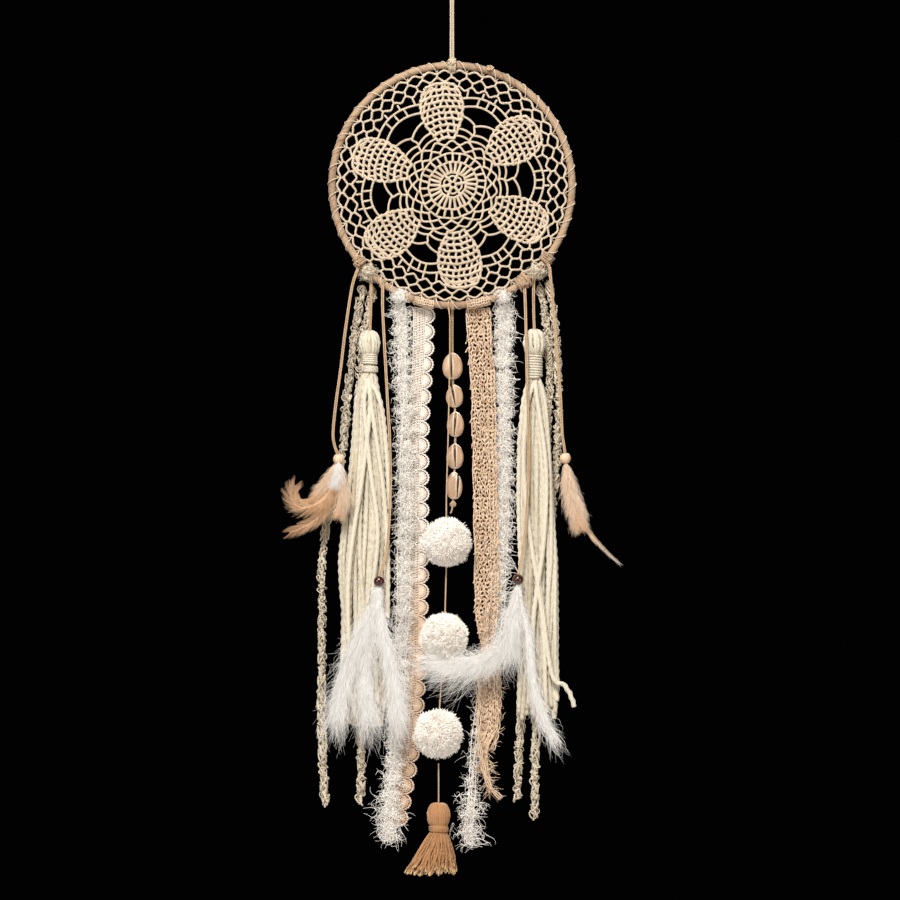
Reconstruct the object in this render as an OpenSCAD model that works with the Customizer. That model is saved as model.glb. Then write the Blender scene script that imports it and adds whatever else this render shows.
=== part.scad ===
// Hanging dream catcher: a wrapped hoop with a crocheted web and a fringe of
// yarns, tassels, laces, shells, pompoms and feathers. Front faces -Y.
// The top of the hanging loop is at the origin. Strand places are measured
// from the middle of the hoop, in millimetres.

/* [Hoop] */
// Outer diameter of the wrapped hoop
hoop_d = 200; // [196:1:204]
// Thickness of the hoop with its thread wrapping
tube_d = 5.5; // [5:0.1:6]
// Thickness of the metal ring inside the wrapping
wire_d = 3; // [2:0.1:3.6]
// Number of lacing turns that tie the web to the hoop
lacing_count = 36; // [24:1:40]

/* [Hanging] */
// Distance from the hook to the top of the hoop
hang_drop = 83; // [80:1:120]
// Thickness of one strand of the hanging cord
hang_cord_d = 1.9; // [1.5:0.1:2.2]

/* [Web] */
// Thickness of the crocheted web
web_t = 1.8; // [1.2:0.1:2.4]
// Number of crocheted petals
petals = 6; // [5:1:6]
// Turn of the first petal from straight up
petal_turn = 7; // [0:1:20]

/* [Beads] */
// Diameter of the dark beads
dark_bead_d = 9; // [8:0.5:9]
// Diameter of the pale wooden beads
pale_bead_d = 9; // [8:0.5:10]
// Thread hole through each bead
bead_hole_d = 2.8; // [2.8:0.1:3.2]

/* [Pompoms and tassels] */
// Diameter of the pompoms
pompom_d = 40; // [36:1:41]
// Diameter of the long tassels' heads
tassel_head_d = 15.6; // [14:0.2:16]
// Diameter of the small tassel's head
small_head_d = 18; // [16:0.5:18]

/* [Hidden] */
$fn = 48;

hoop_z = -hang_drop - hoop_d / 2;
ring_r = (hoop_d - tube_d) / 2;
web_r = ring_r - tube_d / 2 - 1.3;
lacing_d = 0.9;
tie_r = tube_d / 2 + lacing_d + 0.15;    // clear of the lacing turns
loop_r = 7;
thin = 1.3;        // cords under the hoop
doubled = 2.6;     // cords that run double

// Depth of each strand behind the hoop's middle plane
front_y = -13;
plume_y = -9;
pompom_y = -6;
shell_y = 4.5;

// Routes of the cords and yarns: x, depth and height from the hoop's middle
feather_left_route = [
    [-77, -5, -70], [-81, -7, -84], [-86, -9, -117], [-90, -9, -150],
    [-93.5, -9, -175], [-96, -9, -200], [-95, -9, -210], [-92.3, -9, -218]
];
feather_right_route = [
    [79, -5, -67], [81, -7, -90], [83.5, -9, -120], [86, -9, -150],
    [87.8, -9, -175], [89, -9, -200], [90.3, -9, -210], [91.3, -9, -217]
];
boucle_left_long_route = [
    [-72, 10, -82], [-76, 12, -100], [-79, 13, -120], [-82, 13, -145], [-85, 13, -170],
    [-87, 13, -195], [-90, 13, -220], [-96, 13, -248], [-102, 13, -275], [-105.5, 13, -305],
    [-106, 13, -345], [-106, 13, -390], [-106, 13, -430], [-105, 13, -465], [-103, 13, -502]
];
boucle_left_short_route = [
    [-64, 10, -84], [-68, 12, -100], [-71, 13, -120], [-74, 13, -145], [-76, 13, -175],
    [-77, 13, -210], [-78, 13, -250], [-78, 13, -300], [-77, 13, -350], [-76, 13, -400],
    [-74.5, 13, -440], [-74, 13, -470], [-74.5, 13, -501]
];
boucle_right_long_route = [
    [71, 10, -82], [75, 12, -100], [78, 13, -125], [79, 13, -150], [79, 13, -180],
    [76, 13, -215], [72, 13, -260], [67, 13, -310], [62, 13, -360], [58, 13, -410],
    [55, 13, -450], [53.5, 13, -498]
];
boucle_right_short_route = [
    [78, 10, -78], [82.5, 12, -100], [85, 13, -130], [86.5, 13, -160], [86.5, 13, -190],
    [84.5, 13, -230], [80, 13, -280], [75, 13, -330], [71, 13, -380], [68.5, 13, -430],
    [67.5, 13, -480], [67.2, 13, -513]
];
tassel_left_route = [[-65.6, 0, -79], [-65.6, 0, -92], [-66, 0, -106], [-66.6, 0, -120.2]];
tassel_right_route = [[66.1, 0, -79], [66.1, 0, -92], [66.3, 0, -106], [66.8, 0, -119.2]];
marabou_left_route = [
    [-56, -5, -86], [-56, -8, -100], [-54.7, -12, -125], [-53.3, -13, -150],
    [-52, -13, -175], [-50.5, -13, -200], [-49.6, -13, -230], [-50, -13, -260],
    [-52, -13, -290], [-55.3, -13, -307], [-58.3, -13, -316.6]
];
marabou_right_route = [
    [59, -5, -87], [59.5, -8, -105], [60, -12, -130], [60.6, -13, -160],
    [61.4, -13, -190], [61.9, -13, -220], [61, -13, -250], [59, -13, -280],
    [56.5, -13, -300], [54.5, -13, -310], [53.5, -13, -315]
];
cowrie_route = [[0.4, 4.5, -105], [0.4, 4.5, -120], [0.5, 4.5, -140], [0.8, 4.5, -160],
    [2.3, 4.5, -180], [2.6, 4.5, -200], [2.3, 4.5, -225], [1, 4.5, -255.5]];
pompom_route = [
    [-1.6, -6, -107], [-1.8, -6, -145], [-3, -6, -200], [-4.5, -6, -255], [-4.3, -6, -289],
    [-5, -6, -325], [-6.4, -6, -366], [-8.8, -6, -405], [-11.3, -6, -444], [-11, -6, -465]
];
small_tassel_route = [[-10.9, -6, -468], [-10.8, -6, -484], [-10.8, -6, -500]];
eyelash_left_route = [
    [-42, 6, -96], [-41, 8, -120], [-39.5, 9.5, -160], [-38, 9.5, -200], [-38, 9.5, -250],
    [-38.5, 9.5, -300], [-40, 9.5, -350], [-42, 9.5, -400], [-45, 9.5, -440],
    [-48.5, 9.5, -480], [-51, 9.5, -510], [-50, 9.5, -532]
];
eyelash_right_route = [
    [43, 7, -95], [42.5, 9, -120], [42, 10, -160], [42, 10, -200], [42, 10, -250],
    [40, 10, -300], [37, 10, -350], [34, 10, -390], [30, 10, -430], [24, 10, -470],
    [18, 10, -505], [13, 10, -535]
];
cowrie_size = [[16.2, 23.2], [13.8, 20.2], [13.8, 22.4], [13.8, 22.4], [13.2, 24.6]];
cowrie_place = [[0.5, -146.2], [2.1, -170.6], [2.8, -193.4], [2.4, -219.3], [1.8, -243.1]];
pompom_place = [[-4.3, -289], [-6.4, -366], [-11.3, -444]];

// Catmull-Rom point on a route at a whole and part number of its points
function at(p, t) = let(
    n = len(p) - 1, i = min(floor(t), n - 1), u = t - i,
    a = i > 0 ? p[i - 1] : 2 * p[0] - p[1], b = p[i], c = p[i + 1],
    d = i < n - 1 ? p[i + 2] : 2 * p[n] - p[n - 1]
) 0.5 * (2 * b + (c - a) * u + (2 * a - 5 * b + 4 * c - d) * u * u
    + (3 * b - a - 3 * c + d) * u * u * u);
function smooth(p, steps) = [for (i = [0:(len(p) - 1) * steps]) at(p, i / steps)];

// Closed skin over level rings of equal point count
module skin(rings) {
    n = len(rings[0]);
    m = len(rings);
    points = [for (r = rings) for (q = r) q];
    sides = [
        for (i = [0:m - 2]) for (j = [0:n - 1])
            [i * n + j, i * n + (j + 1) % n, (i + 1) * n + (j + 1) % n, (i + 1) * n + j]
    ];
    polyhedron(
        points = points,
        faces = concat([[for (j = [n - 1:-1:0]) j]], sides, [[for (j = [0:n - 1]) (m - 1) * n + j]]),
        convexity = 4
    );
}

// Cord along a route that runs downwards, with level rings of eight points
module cord(route, d, steps = 2) {
    skin([for (q = smooth(route, steps)) [for (j = [0:7])
        q + [cos(45 * j), -sin(45 * j), 0] * d / 2]]);
}

// Flat strip along a route: half width across, half depth back to front
module strip(route, hw, hd, steps = 1) {
    skin([for (q = smooth(route, steps)) [
        q + [hw, hd, 0], q + [hw, -hd, 0], q + [-hw, -hd, 0], q + [-hw, hd, 0]
    ]]);
}

// Rounded bundle: each row is x, depth, height, half width, half depth
module bundle(rows, sides = 16) {
    skin([for (r = rows) [for (j = [0:sides - 1])
        [r[0] + r[3] * cos(360 * j / sides), r[1] - r[4] * sin(360 * j / sides), r[2]]]]);
}

module at_hoop() {
    translate([0, 0, hoop_z]) children();
}

// Place on the hoop's middle circle below the point at this x
function hoop_point(x) = [x, 0, -sqrt(ring_r * ring_r - x * x)];

// Turn of thread round the hoop at an angle
module turn_at(angle, gap, d) {
    rotate([0, -angle, 0])
        translate([ring_r, 0, 0])
            rotate_extrude()
                translate([tube_d / 2 + gap + d / 2, 0])
                    circle(d = d);
}

// Room for the web's edge inside a knot on the hoop
module web_slot() {
    translate([0, web_t / 2 + 0.4, 0])
        rotate([90, 0, 0])
            cylinder(r = web_r + 0.4, h = web_t + 0.8);
}

// Binding of several turns round the hoop
module hoop_tie(x, width) {
    angle = -acos(x / ring_r);
    difference() {
        rotate([0, -angle, 0])
            translate([ring_r, 0, -width / 2])
                difference() {
                    cylinder(r = tube_d / 2 + 2.4, h = width);
                    translate([0, 0, -1]) cylinder(r = tie_r, h = width + 2);
                }
        web_slot();
    }
}

// Fluffy knot hanging under the hoop, with a groove for the hoop
module fluffy_knot(p, r, lower) {
    difference() {
        translate([p[0], 0, p[2] - lower]) sphere(r = r);
        rotate([90, 0, 0])
            rotate_extrude()
                translate([ring_r, 0]) circle(r = tie_r);
        web_slot();
    }
}

module bead(x, y, z, d, h) {
    translate([x, y, z])
        difference() {
            rotate_extrude()
                intersection() {
                    circle(d = d);
                    translate([0, -h / 2]) square([d, h]);
                }
            translate([0, 0, -d]) cylinder(d = bead_hole_d, h = 2 * d);
        }
}

module hang_loop() {
    color("antiquewhite")
        translate([0, 0, -loop_r + hang_cord_d / 2])
            rotate([90, 0, 0])
                rotate_extrude() translate([loop_r, 0]) circle(d = hang_cord_d);
}

module hang_knot() {
    color("antiquewhite")
        translate([0, 0, -2 * loop_r - 2.6]) sphere(r = 2.4);
}

module hang_cord() {
    top = -2 * loop_r - 5.3;
    color("antiquewhite")
        for (side = [-1, 1])
            translate([side * hang_cord_d * 0.52, 0, 0])
                cord([[0, 0, top], [0, 0, top - 18], [0, 0, top - 38], [0, 0, -hang_drop + 3]],
                    hang_cord_d, 4);
}

module hoop_ring() {
    color("silver")
        at_hoop()
            rotate([90, 0, 0])
                rotate_extrude() translate([ring_r, 0]) circle(d = wire_d);
}

module hoop_wrap() {
    color("tan")
        at_hoop()
            rotate([90, 0, 0])
                rotate_extrude()
                    translate([ring_r, 0])
                        difference() {
                            circle(d = tube_d);
                            circle(d = wire_d);
                        }
}

module hoop_knot() {
    color("antiquewhite")
        at_hoop()
            difference() {
                rotate([0, -90, 0])
                    translate([ring_r, 0, -3.5])
                        difference() {
                            cylinder(r = tube_d / 2 + 2, h = 7);
                            translate([0, 0, -1]) cylinder(r = tie_r, h = 9);
                        }
                web_slot();
            }
}

// Opening in the web between two radii, narrower towards the middle
module web_gap(angle, r1, r2, w1, w2) {
    rotate(angle)
        polygon([[r1, -w1 / 2], [r2, -w2 / 2], [r2, w2 / 2], [r1, w1 / 2]]);
}

module doily() {
    step = 360 / petals;
    color("ivory")
        at_hoop()
            rotate([90, 0, 0])
                translate([0, 0, -web_t / 2])
                    linear_extrude(web_t)
                        difference() {
                            circle(r = web_r);
                            for (i = [0:5]) web_gap(60 * i + 30, 3, 8.6, 1.6, 6.4);
                            for (i = [0:15]) web_gap(22.5 * i, 20.6, 25, 4.4, 5.8);
                            for (i = [0:11]) web_gap(30 * i, 28, 35, 9, 12);
                            for (i = [0:petals - 1]) {
                                a = 90 + petal_turn + i * step;
                                for (k = [0:3])
                                    web_gap(a, 42 + 10 * k, 45 + 10 * k, 9 + 3.5 * k, 10 + 3.5 * k);
                                web_gap(a + step / 2, 39, 44, 6, 11);
                                web_gap(a + step / 2, 46, 67, 9, 26);
                                web_gap(a + step / 2 - 6, 69, 74, 9, 10);
                                web_gap(a + step / 2 + 6, 69, 74, 9, 10);
                            }
                            for (i = [0:35]) web_gap(10 * i + 5, 86.5, 90.5, 9, 10);
                        }
}

module web_lacing() {
    color("wheat")
        at_hoop()
            for (i = [0:lacing_count - 1])
                turn_at(360 * (i + 0.5) / lacing_count + 5, 0.05, lacing_d);
}

module feather_left_knot() {
    color("tan") at_hoop() hoop_tie(-74.5, 5);
}

module feather_left_cord() {
    color("wheat") at_hoop() cord(feather_left_route, doubled);
}

module feather_left_bead() {
    color("burlywood") at_hoop() bead(-91.5, plume_y, -221.8, pale_bead_d, 7.4);
}

module feather_left_plumes() {
    color("chocolate")
        at_hoop()
            bundle([
                [-91.5, plume_y, -226, 3, 2.5], [-93, plume_y, -232, 8, 5], [-97, plume_y, -242, 15, 7],
                [-104, plume_y, -254, 22, 8], [-108, plume_y, -266, 24, 8], [-106, plume_y, -276, 20, 6],
                [-100, plume_y, -284, 10, 4]
            ]);
}

module feather_right_knot() {
    color("tan") at_hoop() hoop_tie(77, 6);
}

module feather_right_cord() {
    color("wheat") at_hoop() cord(feather_right_route, doubled);
}

module feather_right_bead() {
    color("burlywood") at_hoop() bead(91.5, plume_y, -221.2, pale_bead_d, 8);
}

module feather_right_plumes() {
    color("chocolate")
        at_hoop()
            bundle([
                [91.5, plume_y, -225.6, 3, 2.5], [94, plume_y, -233, 8, 5], [98, plume_y, -244, 11, 7],
                [101, plume_y, -256, 13, 7], [103, plume_y, -267, 11, 6], [109, plume_y, -278, 6, 3],
                [119, plume_y, -290, 5, 2], [127, plume_y, -300, 5, 1.5], [134, plume_y, -306, 2, 1]
            ]);
}

module boucle_left_knot() {
    color("linen") at_hoop() fluffy_knot(hoop_point(-68), 8, 1);
}

module boucle_right_knot() {
    color("linen") at_hoop() fluffy_knot(hoop_point(69), 8, 1);
}

module boucle_left_long() {
    color("linen") at_hoop() cord(boucle_left_long_route, 7, 1);
}

module boucle_left_short() {
    color("linen") at_hoop() cord(boucle_left_short_route, 7, 1);
}

module boucle_right_long() {
    color("linen") at_hoop() cord(boucle_right_long_route, 7, 1);
}

module boucle_right_short() {
    color("linen") at_hoop() cord(boucle_right_short_route, 7, 1);
}

module tassel_head(x, top, d, h, hole) {
    translate([x, 0, top - h])
        difference() {
            rotate_extrude()
                intersection() {
                    translate([0, h - d / 2]) circle(d = d);
                    square([d, h]);
                }
            translate([0, 0, h - 3]) cylinder(d = hole, h = 4);
        }
}

module tassel_wrap(x, y, top, r_in, r_out, h) {
    translate([x, y, top - h])
        difference() {
            cylinder(r = r_out, h = h);
            translate([0, 0, -1]) cylinder(r = r_in, h = h + 2);
        }
}

module tassel_left_cord() {
    color("wheat") at_hoop() cord(tassel_left_route, doubled, 3);
}

module tassel_left_head() {
    color("ivory")
        at_hoop() tassel_head(-66.8, -118.5, tassel_head_d, 17, 3.2);
}

module tassel_left_wrap() {
    color("ivory") at_hoop() tassel_wrap(-66.8, 0, -136, 5.2, 6.6, 14.5);
}

module tassel_left_skirt() {
    color("ivory")
        at_hoop()
            bundle([
                [-66.8, 0, -135.6, 5, 5], [-66.8, 0, -150.6, 5, 5],
                [-67, 0, -154, 7.5, 5.4], [-67.6, 0, -161, 9.8, 6], [-67.6, 0, -174, 12.6, 6.2],
                [-67.2, 0, -206, 15.4, 6.2], [-68.9, 0, -255, 19, 6.2], [-71.7, 0, -304, 22.5, 6.2],
                [-72, 0, -336, 23, 6], [-72.5, 0, -385, 23.5, 5.6], [-73.5, 0, -434, 22.5, 5.2]
            ], 20);
}

module tassel_right_cord() {
    color("wheat") at_hoop() cord(tassel_right_route, doubled, 3);
}

module tassel_right_head() {
    color("ivory")
        at_hoop() tassel_head(66.8, -117.5, tassel_head_d, 18, 3.2);
}

module tassel_right_wrap() {
    color("ivory") at_hoop() tassel_wrap(66.8, 0, -136, 5.2, 6.6, 20);
}

module tassel_right_skirt() {
    color("ivory")
        at_hoop()
            bundle([
                [66.8, 0, -135.6, 5, 5], [66.8, 0, -156.2, 5, 5],
                [66.8, 0, -159, 7.5, 5.4], [67, 0, -166, 10, 6], [67.2, 0, -176, 12.6, 6.2],
                [67, 0, -206, 15.6, 6.2], [68.4, 0, -255, 17.4, 6.2], [70.9, 0, -304, 18.2, 6.2],
                [71, 0, -368, 19, 6], [70.8, 0, -430, 19.4, 5.2]
            ], 20);
}

module marabou_left_cord() {
    color("wheat") at_hoop() cord(marabou_left_route, doubled);
}

module marabou_left_bead() {
    color("saddlebrown") at_hoop() bead(-58.8, front_y, -320.4, dark_bead_d, 8.4);
}

module marabou_left_plumes() {
    color("white")
        at_hoop()
            bundle([
                [-59, front_y, -325, 3, 2.5], [-60, front_y, -333, 12, 4.5],
                [-63.5, front_y - 1, -346, 17.5, 6], [-68, front_y - 1, -365, 22, 6.4],
                [-72, front_y - 1, -388, 26, 6.4], [-72.5, front_y - 1, -410, 25.5, 6],
                [-72, front_y - 1, -428, 18, 4.5], [-72, front_y - 1, -438, 9, 2.5]
            ], 20);
}

module marabou_right_knot() {
    color("tan") at_hoop() hoop_tie(57.4, 9);
}

module marabou_right_cord() {
    color("wheat") at_hoop() cord(marabou_right_route, doubled);
}

module marabou_right_bead() {
    color("saddlebrown") at_hoop() bead(53.3, front_y, -319, dark_bead_d, 8.4);
}

module marabou_right_plumes() {
    color("white")
        at_hoop()
            bundle([
                [53, front_y, -323.6, 3, 2.5], [50, front_y, -332, 12, 4.5],
                [45, front_y - 1, -348, 20, 6], [42, front_y - 1, -366, 24, 6.4],
                [37, front_y - 1, -386, 30, 6.4], [26, front_y - 1, -396, 42, 6.2],
                [28, front_y - 1, -404, 42, 6], [50, front_y - 1, -414, 22, 5],
                [63, front_y - 1, -430, 12, 4],
                [75, front_y - 1, -446, 8, 3], [82, front_y - 1, -455, 3, 2]
            ], 20);
}

module eyelash_left_knot() {
    color("white") at_hoop() fluffy_knot(hoop_point(-42), 7, 1.5);
}

module eyelash_left_yarn() {
    color("lightgray") at_hoop() strip(eyelash_left_route, 6, 2);
}

module eyelash_right_knot() {
    color("white") at_hoop() fluffy_knot(hoop_point(41), 7, 1.5);
}

module eyelash_right_yarn() {
    color("lightgray") at_hoop() strip(eyelash_right_route, 6, 2);
}

module scalloped_lace() {
    color("linen")
        at_hoop()
            strip([
                [-22.5, 6, -99], [-23, 9, -115], [-24, 12, -145], [-26.5, 14, -180], [-27.5, 15, -220],
                [-27.5, 15, -280], [-28, 15, -340], [-30, 15, -400], [-34, 15, -450], [-42, 15, -500],
                [-46, 15, -520]
            ], 8.6, 0.8);
}

module cowrie_cord() {
    color("wheat") at_hoop() cord(cowrie_route, 1.8, 2);
}

// Egg-shaped shell, cut flat behind, with its toothed mouth in front
module cowrie(i) {
    w = cowrie_size[i][0];
    h = cowrie_size[i][1];
    color("bisque")
        at_hoop()
            translate([cowrie_place[i][0], shell_y, cowrie_place[i][1]])
                difference() {
                    rotate_extrude()
                        polygon([for (k = [0:12]) let(a = 180 * k / 12)
                            [w / 2 * sin(a) * (1 - 0.12 * cos(a)), h / 2 * cos(a)]]);
                    translate([-w, w * 0.3, -h]) cube([2 * w, w, 2 * h]);
                    translate([-w, -w * 1.34, -h]) cube([2 * w, w, 2 * h]);
                    translate([-0.7, -w * 0.5, -h * 0.38]) cube([1.4, w * 0.3, h * 0.76]);
                    translate([0, 0, -h]) cylinder(r = 2.6, h = 2 * h);
                }
}

module cowrie_1() { cowrie(0); }
module cowrie_2() { cowrie(1); }
module cowrie_3() { cowrie(2); }
module cowrie_4() { cowrie(3); }
module cowrie_5() { cowrie(4); }

module cowrie_knot() {
    color("wheat") at_hoop() translate([0.8, shell_y, -258.4]) sphere(r = 2.4);
}

module pompom_cord() {
    color("wheat") at_hoop() cord(pompom_route, thin);
}

module pompom(i) {
    color("snow")
        at_hoop()
            translate([pompom_place[i][0], pompom_y, pompom_place[i][1]])
                difference() {
                    sphere(d = pompom_d);
                    translate([0, 0, -pompom_d]) cylinder(r = 3.2, h = 2 * pompom_d);
                }
}

module pompom_1() { pompom(0); }
module pompom_2() { pompom(1); }
module pompom_3() { pompom(2); }

module small_tassel_cord() {
    color("wheat") at_hoop() cord(small_tassel_route, thin, 4);
}

module small_tassel_head() {
    color("burlywood")
        at_hoop()
            translate([-10.8, pompom_y, -518.5])
                rotate_extrude()
                    polygon([
                        [0, 0], [7.6, 0], [8.8, 5], [small_head_d / 2, 10],
                        [8.3, 15], [5.5, 17.6], [0, 18.3]
                    ]);
}

module small_tassel_wrap() {
    color("peru") at_hoop() tassel_wrap(-10.8, pompom_y, -518.8, 7.2, 8.4, 4);
}

module small_tassel_skirt() {
    color("burlywood")
        at_hoop()
            bundle([
                [-10.8, pompom_y, -518.7, 7, 7], [-10.8, pompom_y, -522.9, 7, 7],
                [-11.4, pompom_y, -527, 9.6, 7.6], [-12.4, pompom_y, -533, 12.4, 8.4],
                [-14.5, pompom_y, -543, 16.8, 9.6], [-17, pompom_y, -555, 20.5, 10.5]
            ], 20);
}

module crochet_ribbon() {
    color("burlywood")
        at_hoop()
            strip([
                [21, 4, -100], [22.5, 4, -125], [25, 4, -160], [26, 4, -200], [27, 4, -250],
                [28, 4, -320], [28.5, 4, -380], [30, 4, -430], [31.5, 4, -460], [30, 4, -490]
            ], 9.5, 1.2);
}

hang_loop();
hang_knot();
hang_cord();
hoop_ring();
hoop_wrap();
hoop_knot();
doily();
web_lacing();
feather_left_knot();
feather_left_cord();
feather_left_bead();
feather_left_plumes();
boucle_left_knot();
boucle_left_long();
boucle_left_short();
tassel_left_cord();
tassel_left_head();
tassel_left_wrap();
tassel_left_skirt();
marabou_left_cord();
marabou_left_bead();
marabou_left_plumes();
eyelash_left_knot();
eyelash_left_yarn();
scalloped_lace();
cowrie_cord();
cowrie_1();
cowrie_2();
cowrie_3();
cowrie_4();
cowrie_5();
cowrie_knot();
pompom_cord();
pompom_1();
pompom_2();
pompom_3();
small_tassel_cord();
small_tassel_head();
small_tassel_wrap();
small_tassel_skirt();
crochet_ribbon();
eyelash_right_knot();
eyelash_right_yarn();
marabou_right_knot();
marabou_right_cord();
marabou_right_bead();
marabou_right_plumes();
tassel_right_cord();
tassel_right_head();
tassel_right_wrap();
tassel_right_skirt();
boucle_right_knot();
boucle_right_long();
boucle_right_short();
feather_right_knot();
feather_right_cord();
feather_right_bead();
feather_right_plumes();
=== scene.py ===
import bpy
import numpy as np
from math import pi
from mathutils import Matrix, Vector


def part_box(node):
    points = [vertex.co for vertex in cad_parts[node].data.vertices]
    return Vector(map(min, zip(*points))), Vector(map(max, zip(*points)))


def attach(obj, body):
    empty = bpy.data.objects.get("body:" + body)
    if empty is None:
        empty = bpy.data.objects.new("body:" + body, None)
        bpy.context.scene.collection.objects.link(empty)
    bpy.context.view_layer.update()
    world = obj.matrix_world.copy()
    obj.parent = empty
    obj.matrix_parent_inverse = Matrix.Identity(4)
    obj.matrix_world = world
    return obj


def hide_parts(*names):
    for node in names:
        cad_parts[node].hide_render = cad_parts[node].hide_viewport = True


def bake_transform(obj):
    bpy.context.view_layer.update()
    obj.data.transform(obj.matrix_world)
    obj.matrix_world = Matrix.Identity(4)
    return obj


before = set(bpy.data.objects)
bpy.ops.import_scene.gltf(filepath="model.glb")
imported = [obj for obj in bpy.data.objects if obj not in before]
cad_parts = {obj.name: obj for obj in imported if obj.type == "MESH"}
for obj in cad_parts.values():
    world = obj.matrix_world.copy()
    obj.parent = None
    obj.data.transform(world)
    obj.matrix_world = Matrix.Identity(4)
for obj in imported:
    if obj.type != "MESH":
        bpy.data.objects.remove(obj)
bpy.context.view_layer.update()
print("dream catcher: frame loaded")

mm = 0.001
goldenAngle = 2.399963  # radians, spreads points evenly round a middle
acrossFace = (0, 1, 0.01)  # nearly front to back, for threads that run in a flat piece
wrapLow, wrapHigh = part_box("hoop_wrap")
hoopZ = (wrapLow.z + wrapHigh.z) / 2
tubeR = (wrapHigh.y - wrapLow.y) / 2
ringR = (wrapHigh.x - wrapLow.x) / 2 - tubeR

viewing = {"distance": 3.0, "height": 0.729, "middle": (-0.0016, -0.3975), "floor": -0.9}


def addCamera(name, look):
    data = bpy.data.cameras.new(name)
    data.sensor_width = 36
    data.lens = 36 * look["distance"] / look["height"]
    eye = bpy.data.objects.new(name, data)
    eye.location = (look["middle"][0], -look["distance"], look["middle"][1])
    eye.rotation_euler = (pi / 2, 0, 0)
    bpy.context.scene.collection.objects.link(eye)
    bpy.context.scene.camera = eye


def addLamp(name, place, aim, size, power, colour):
    data = bpy.data.lights.new(name, "AREA")
    data.shape = "DISK"
    data.size = size
    data.energy = power
    data.color = colour
    lamp = bpy.data.objects.new(name, data)
    lamp.location = place
    lamp.rotation_euler = (Vector(aim) - Vector(place)).to_track_quat("-Z", "Y").to_euler()
    bpy.context.scene.collection.objects.link(lamp)


lamps = {  # place, aim, size, watts, colour
    "topLight": ((-0.3, -1.7, 1.25), (0, 0, -0.35), 0.6, 76, (1, 0.985, 0.955)),
    "leftFill": ((-1.7, -1.9, -0.1), (0, 0, -0.5), 1.4, 20, (1, 0.97, 0.93)),
    "rightFill": ((1.8, -1.7, -0.5), (0, 0, -0.5), 1.4, 14, (1, 0.9, 0.78)),
    "backLight": ((0.6, 1.9, 0.7), (0, 0, -0.35), 1.2, 36, (1, 0.98, 0.95)),
}
worldGrey = 0.0006

addCamera("frontCamera", viewing)
for lampName, lamp in lamps.items():
    addLamp(lampName, *lamp)
world = bpy.data.worlds.new("studioWorld")
world.use_nodes = True
world.node_tree.nodes["Background"].inputs["Color"].default_value = (worldGrey,) * 3 + (1,)
bpy.context.scene.world = world


def unit(v):
    return v / np.maximum(np.linalg.norm(v, axis=-1, keepdims=True), 1e-12)


def inFrame(points):  # millimetres from the hoop's middle to metres in the frame
    return np.array(points, float) * mm + (0, 0, hoopZ)


def smoothRoute(route, steps):
    # Catmull-Rom: half of 2b + (c-a)u + (2a-5b+4c-d)u2 + (3b-a-3c+d)u3
    p = inFrame(route)
    q = np.vstack([2 * p[0] - p[1], p, 2 * p[-1] - p[-2]])
    last = len(p) - 1
    t = np.linspace(0, last, last * steps + 1)
    i = np.minimum(t.astype(int), last - 1)
    u = (t - i)[:, None]
    a, b, c, d = q[i], q[i + 1], q[i + 2], q[i + 3]
    return 0.5 * (2 * b + (c - a) * u + (2 * a - 5 * b + 4 * c - d) * u**2
                  + (3 * b - a - 3 * c + d) * u**3)


def alongLine(line, share):  # the point at each share, 0 to 1, of a line's length
    run = np.concatenate([[0], np.cumsum(np.linalg.norm(np.diff(line, axis=0), axis=1))])
    at = np.asarray(share) * run[-1]
    return np.stack([np.interp(at, run, line[:, k]) for k in range(3)], axis=-1)


def evenRoute(route, points):  # a smooth route through a list, at even steps
    return alongLine(smoothRoute(route, 8), np.linspace(0, 1, points))


def lineLength(line):
    return float(np.linalg.norm(np.diff(line, axis=0), axis=1).sum())


def sideAxes(paths, axis, closed):
    if closed:
        tangent = unit(np.roll(paths, -1, axis=1) - np.roll(paths, 1, axis=1))
    else:
        tangent = unit(np.gradient(paths, axis=1))
    if axis is None:
        run = np.abs(paths[:, -1] - paths[:, 0])
        pick = np.eye(3)[np.argmin(run, axis=1)][:, None]
    else:
        pick = np.array(axis, float).reshape(-1, 1, 3)
    u = unit(np.cross(tangent, pick))
    return u, np.cross(u, tangent), tangent


def axesAlong(line, share):  # a line's side, face and run at each share of it
    grid = np.linspace(0, 1, len(line))
    return [np.stack([np.interp(share, grid, a[0][:, k]) for k in range(3)], axis=-1)
            for a in sideAxes(line[None], (0, 1, 0), False)]


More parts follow.
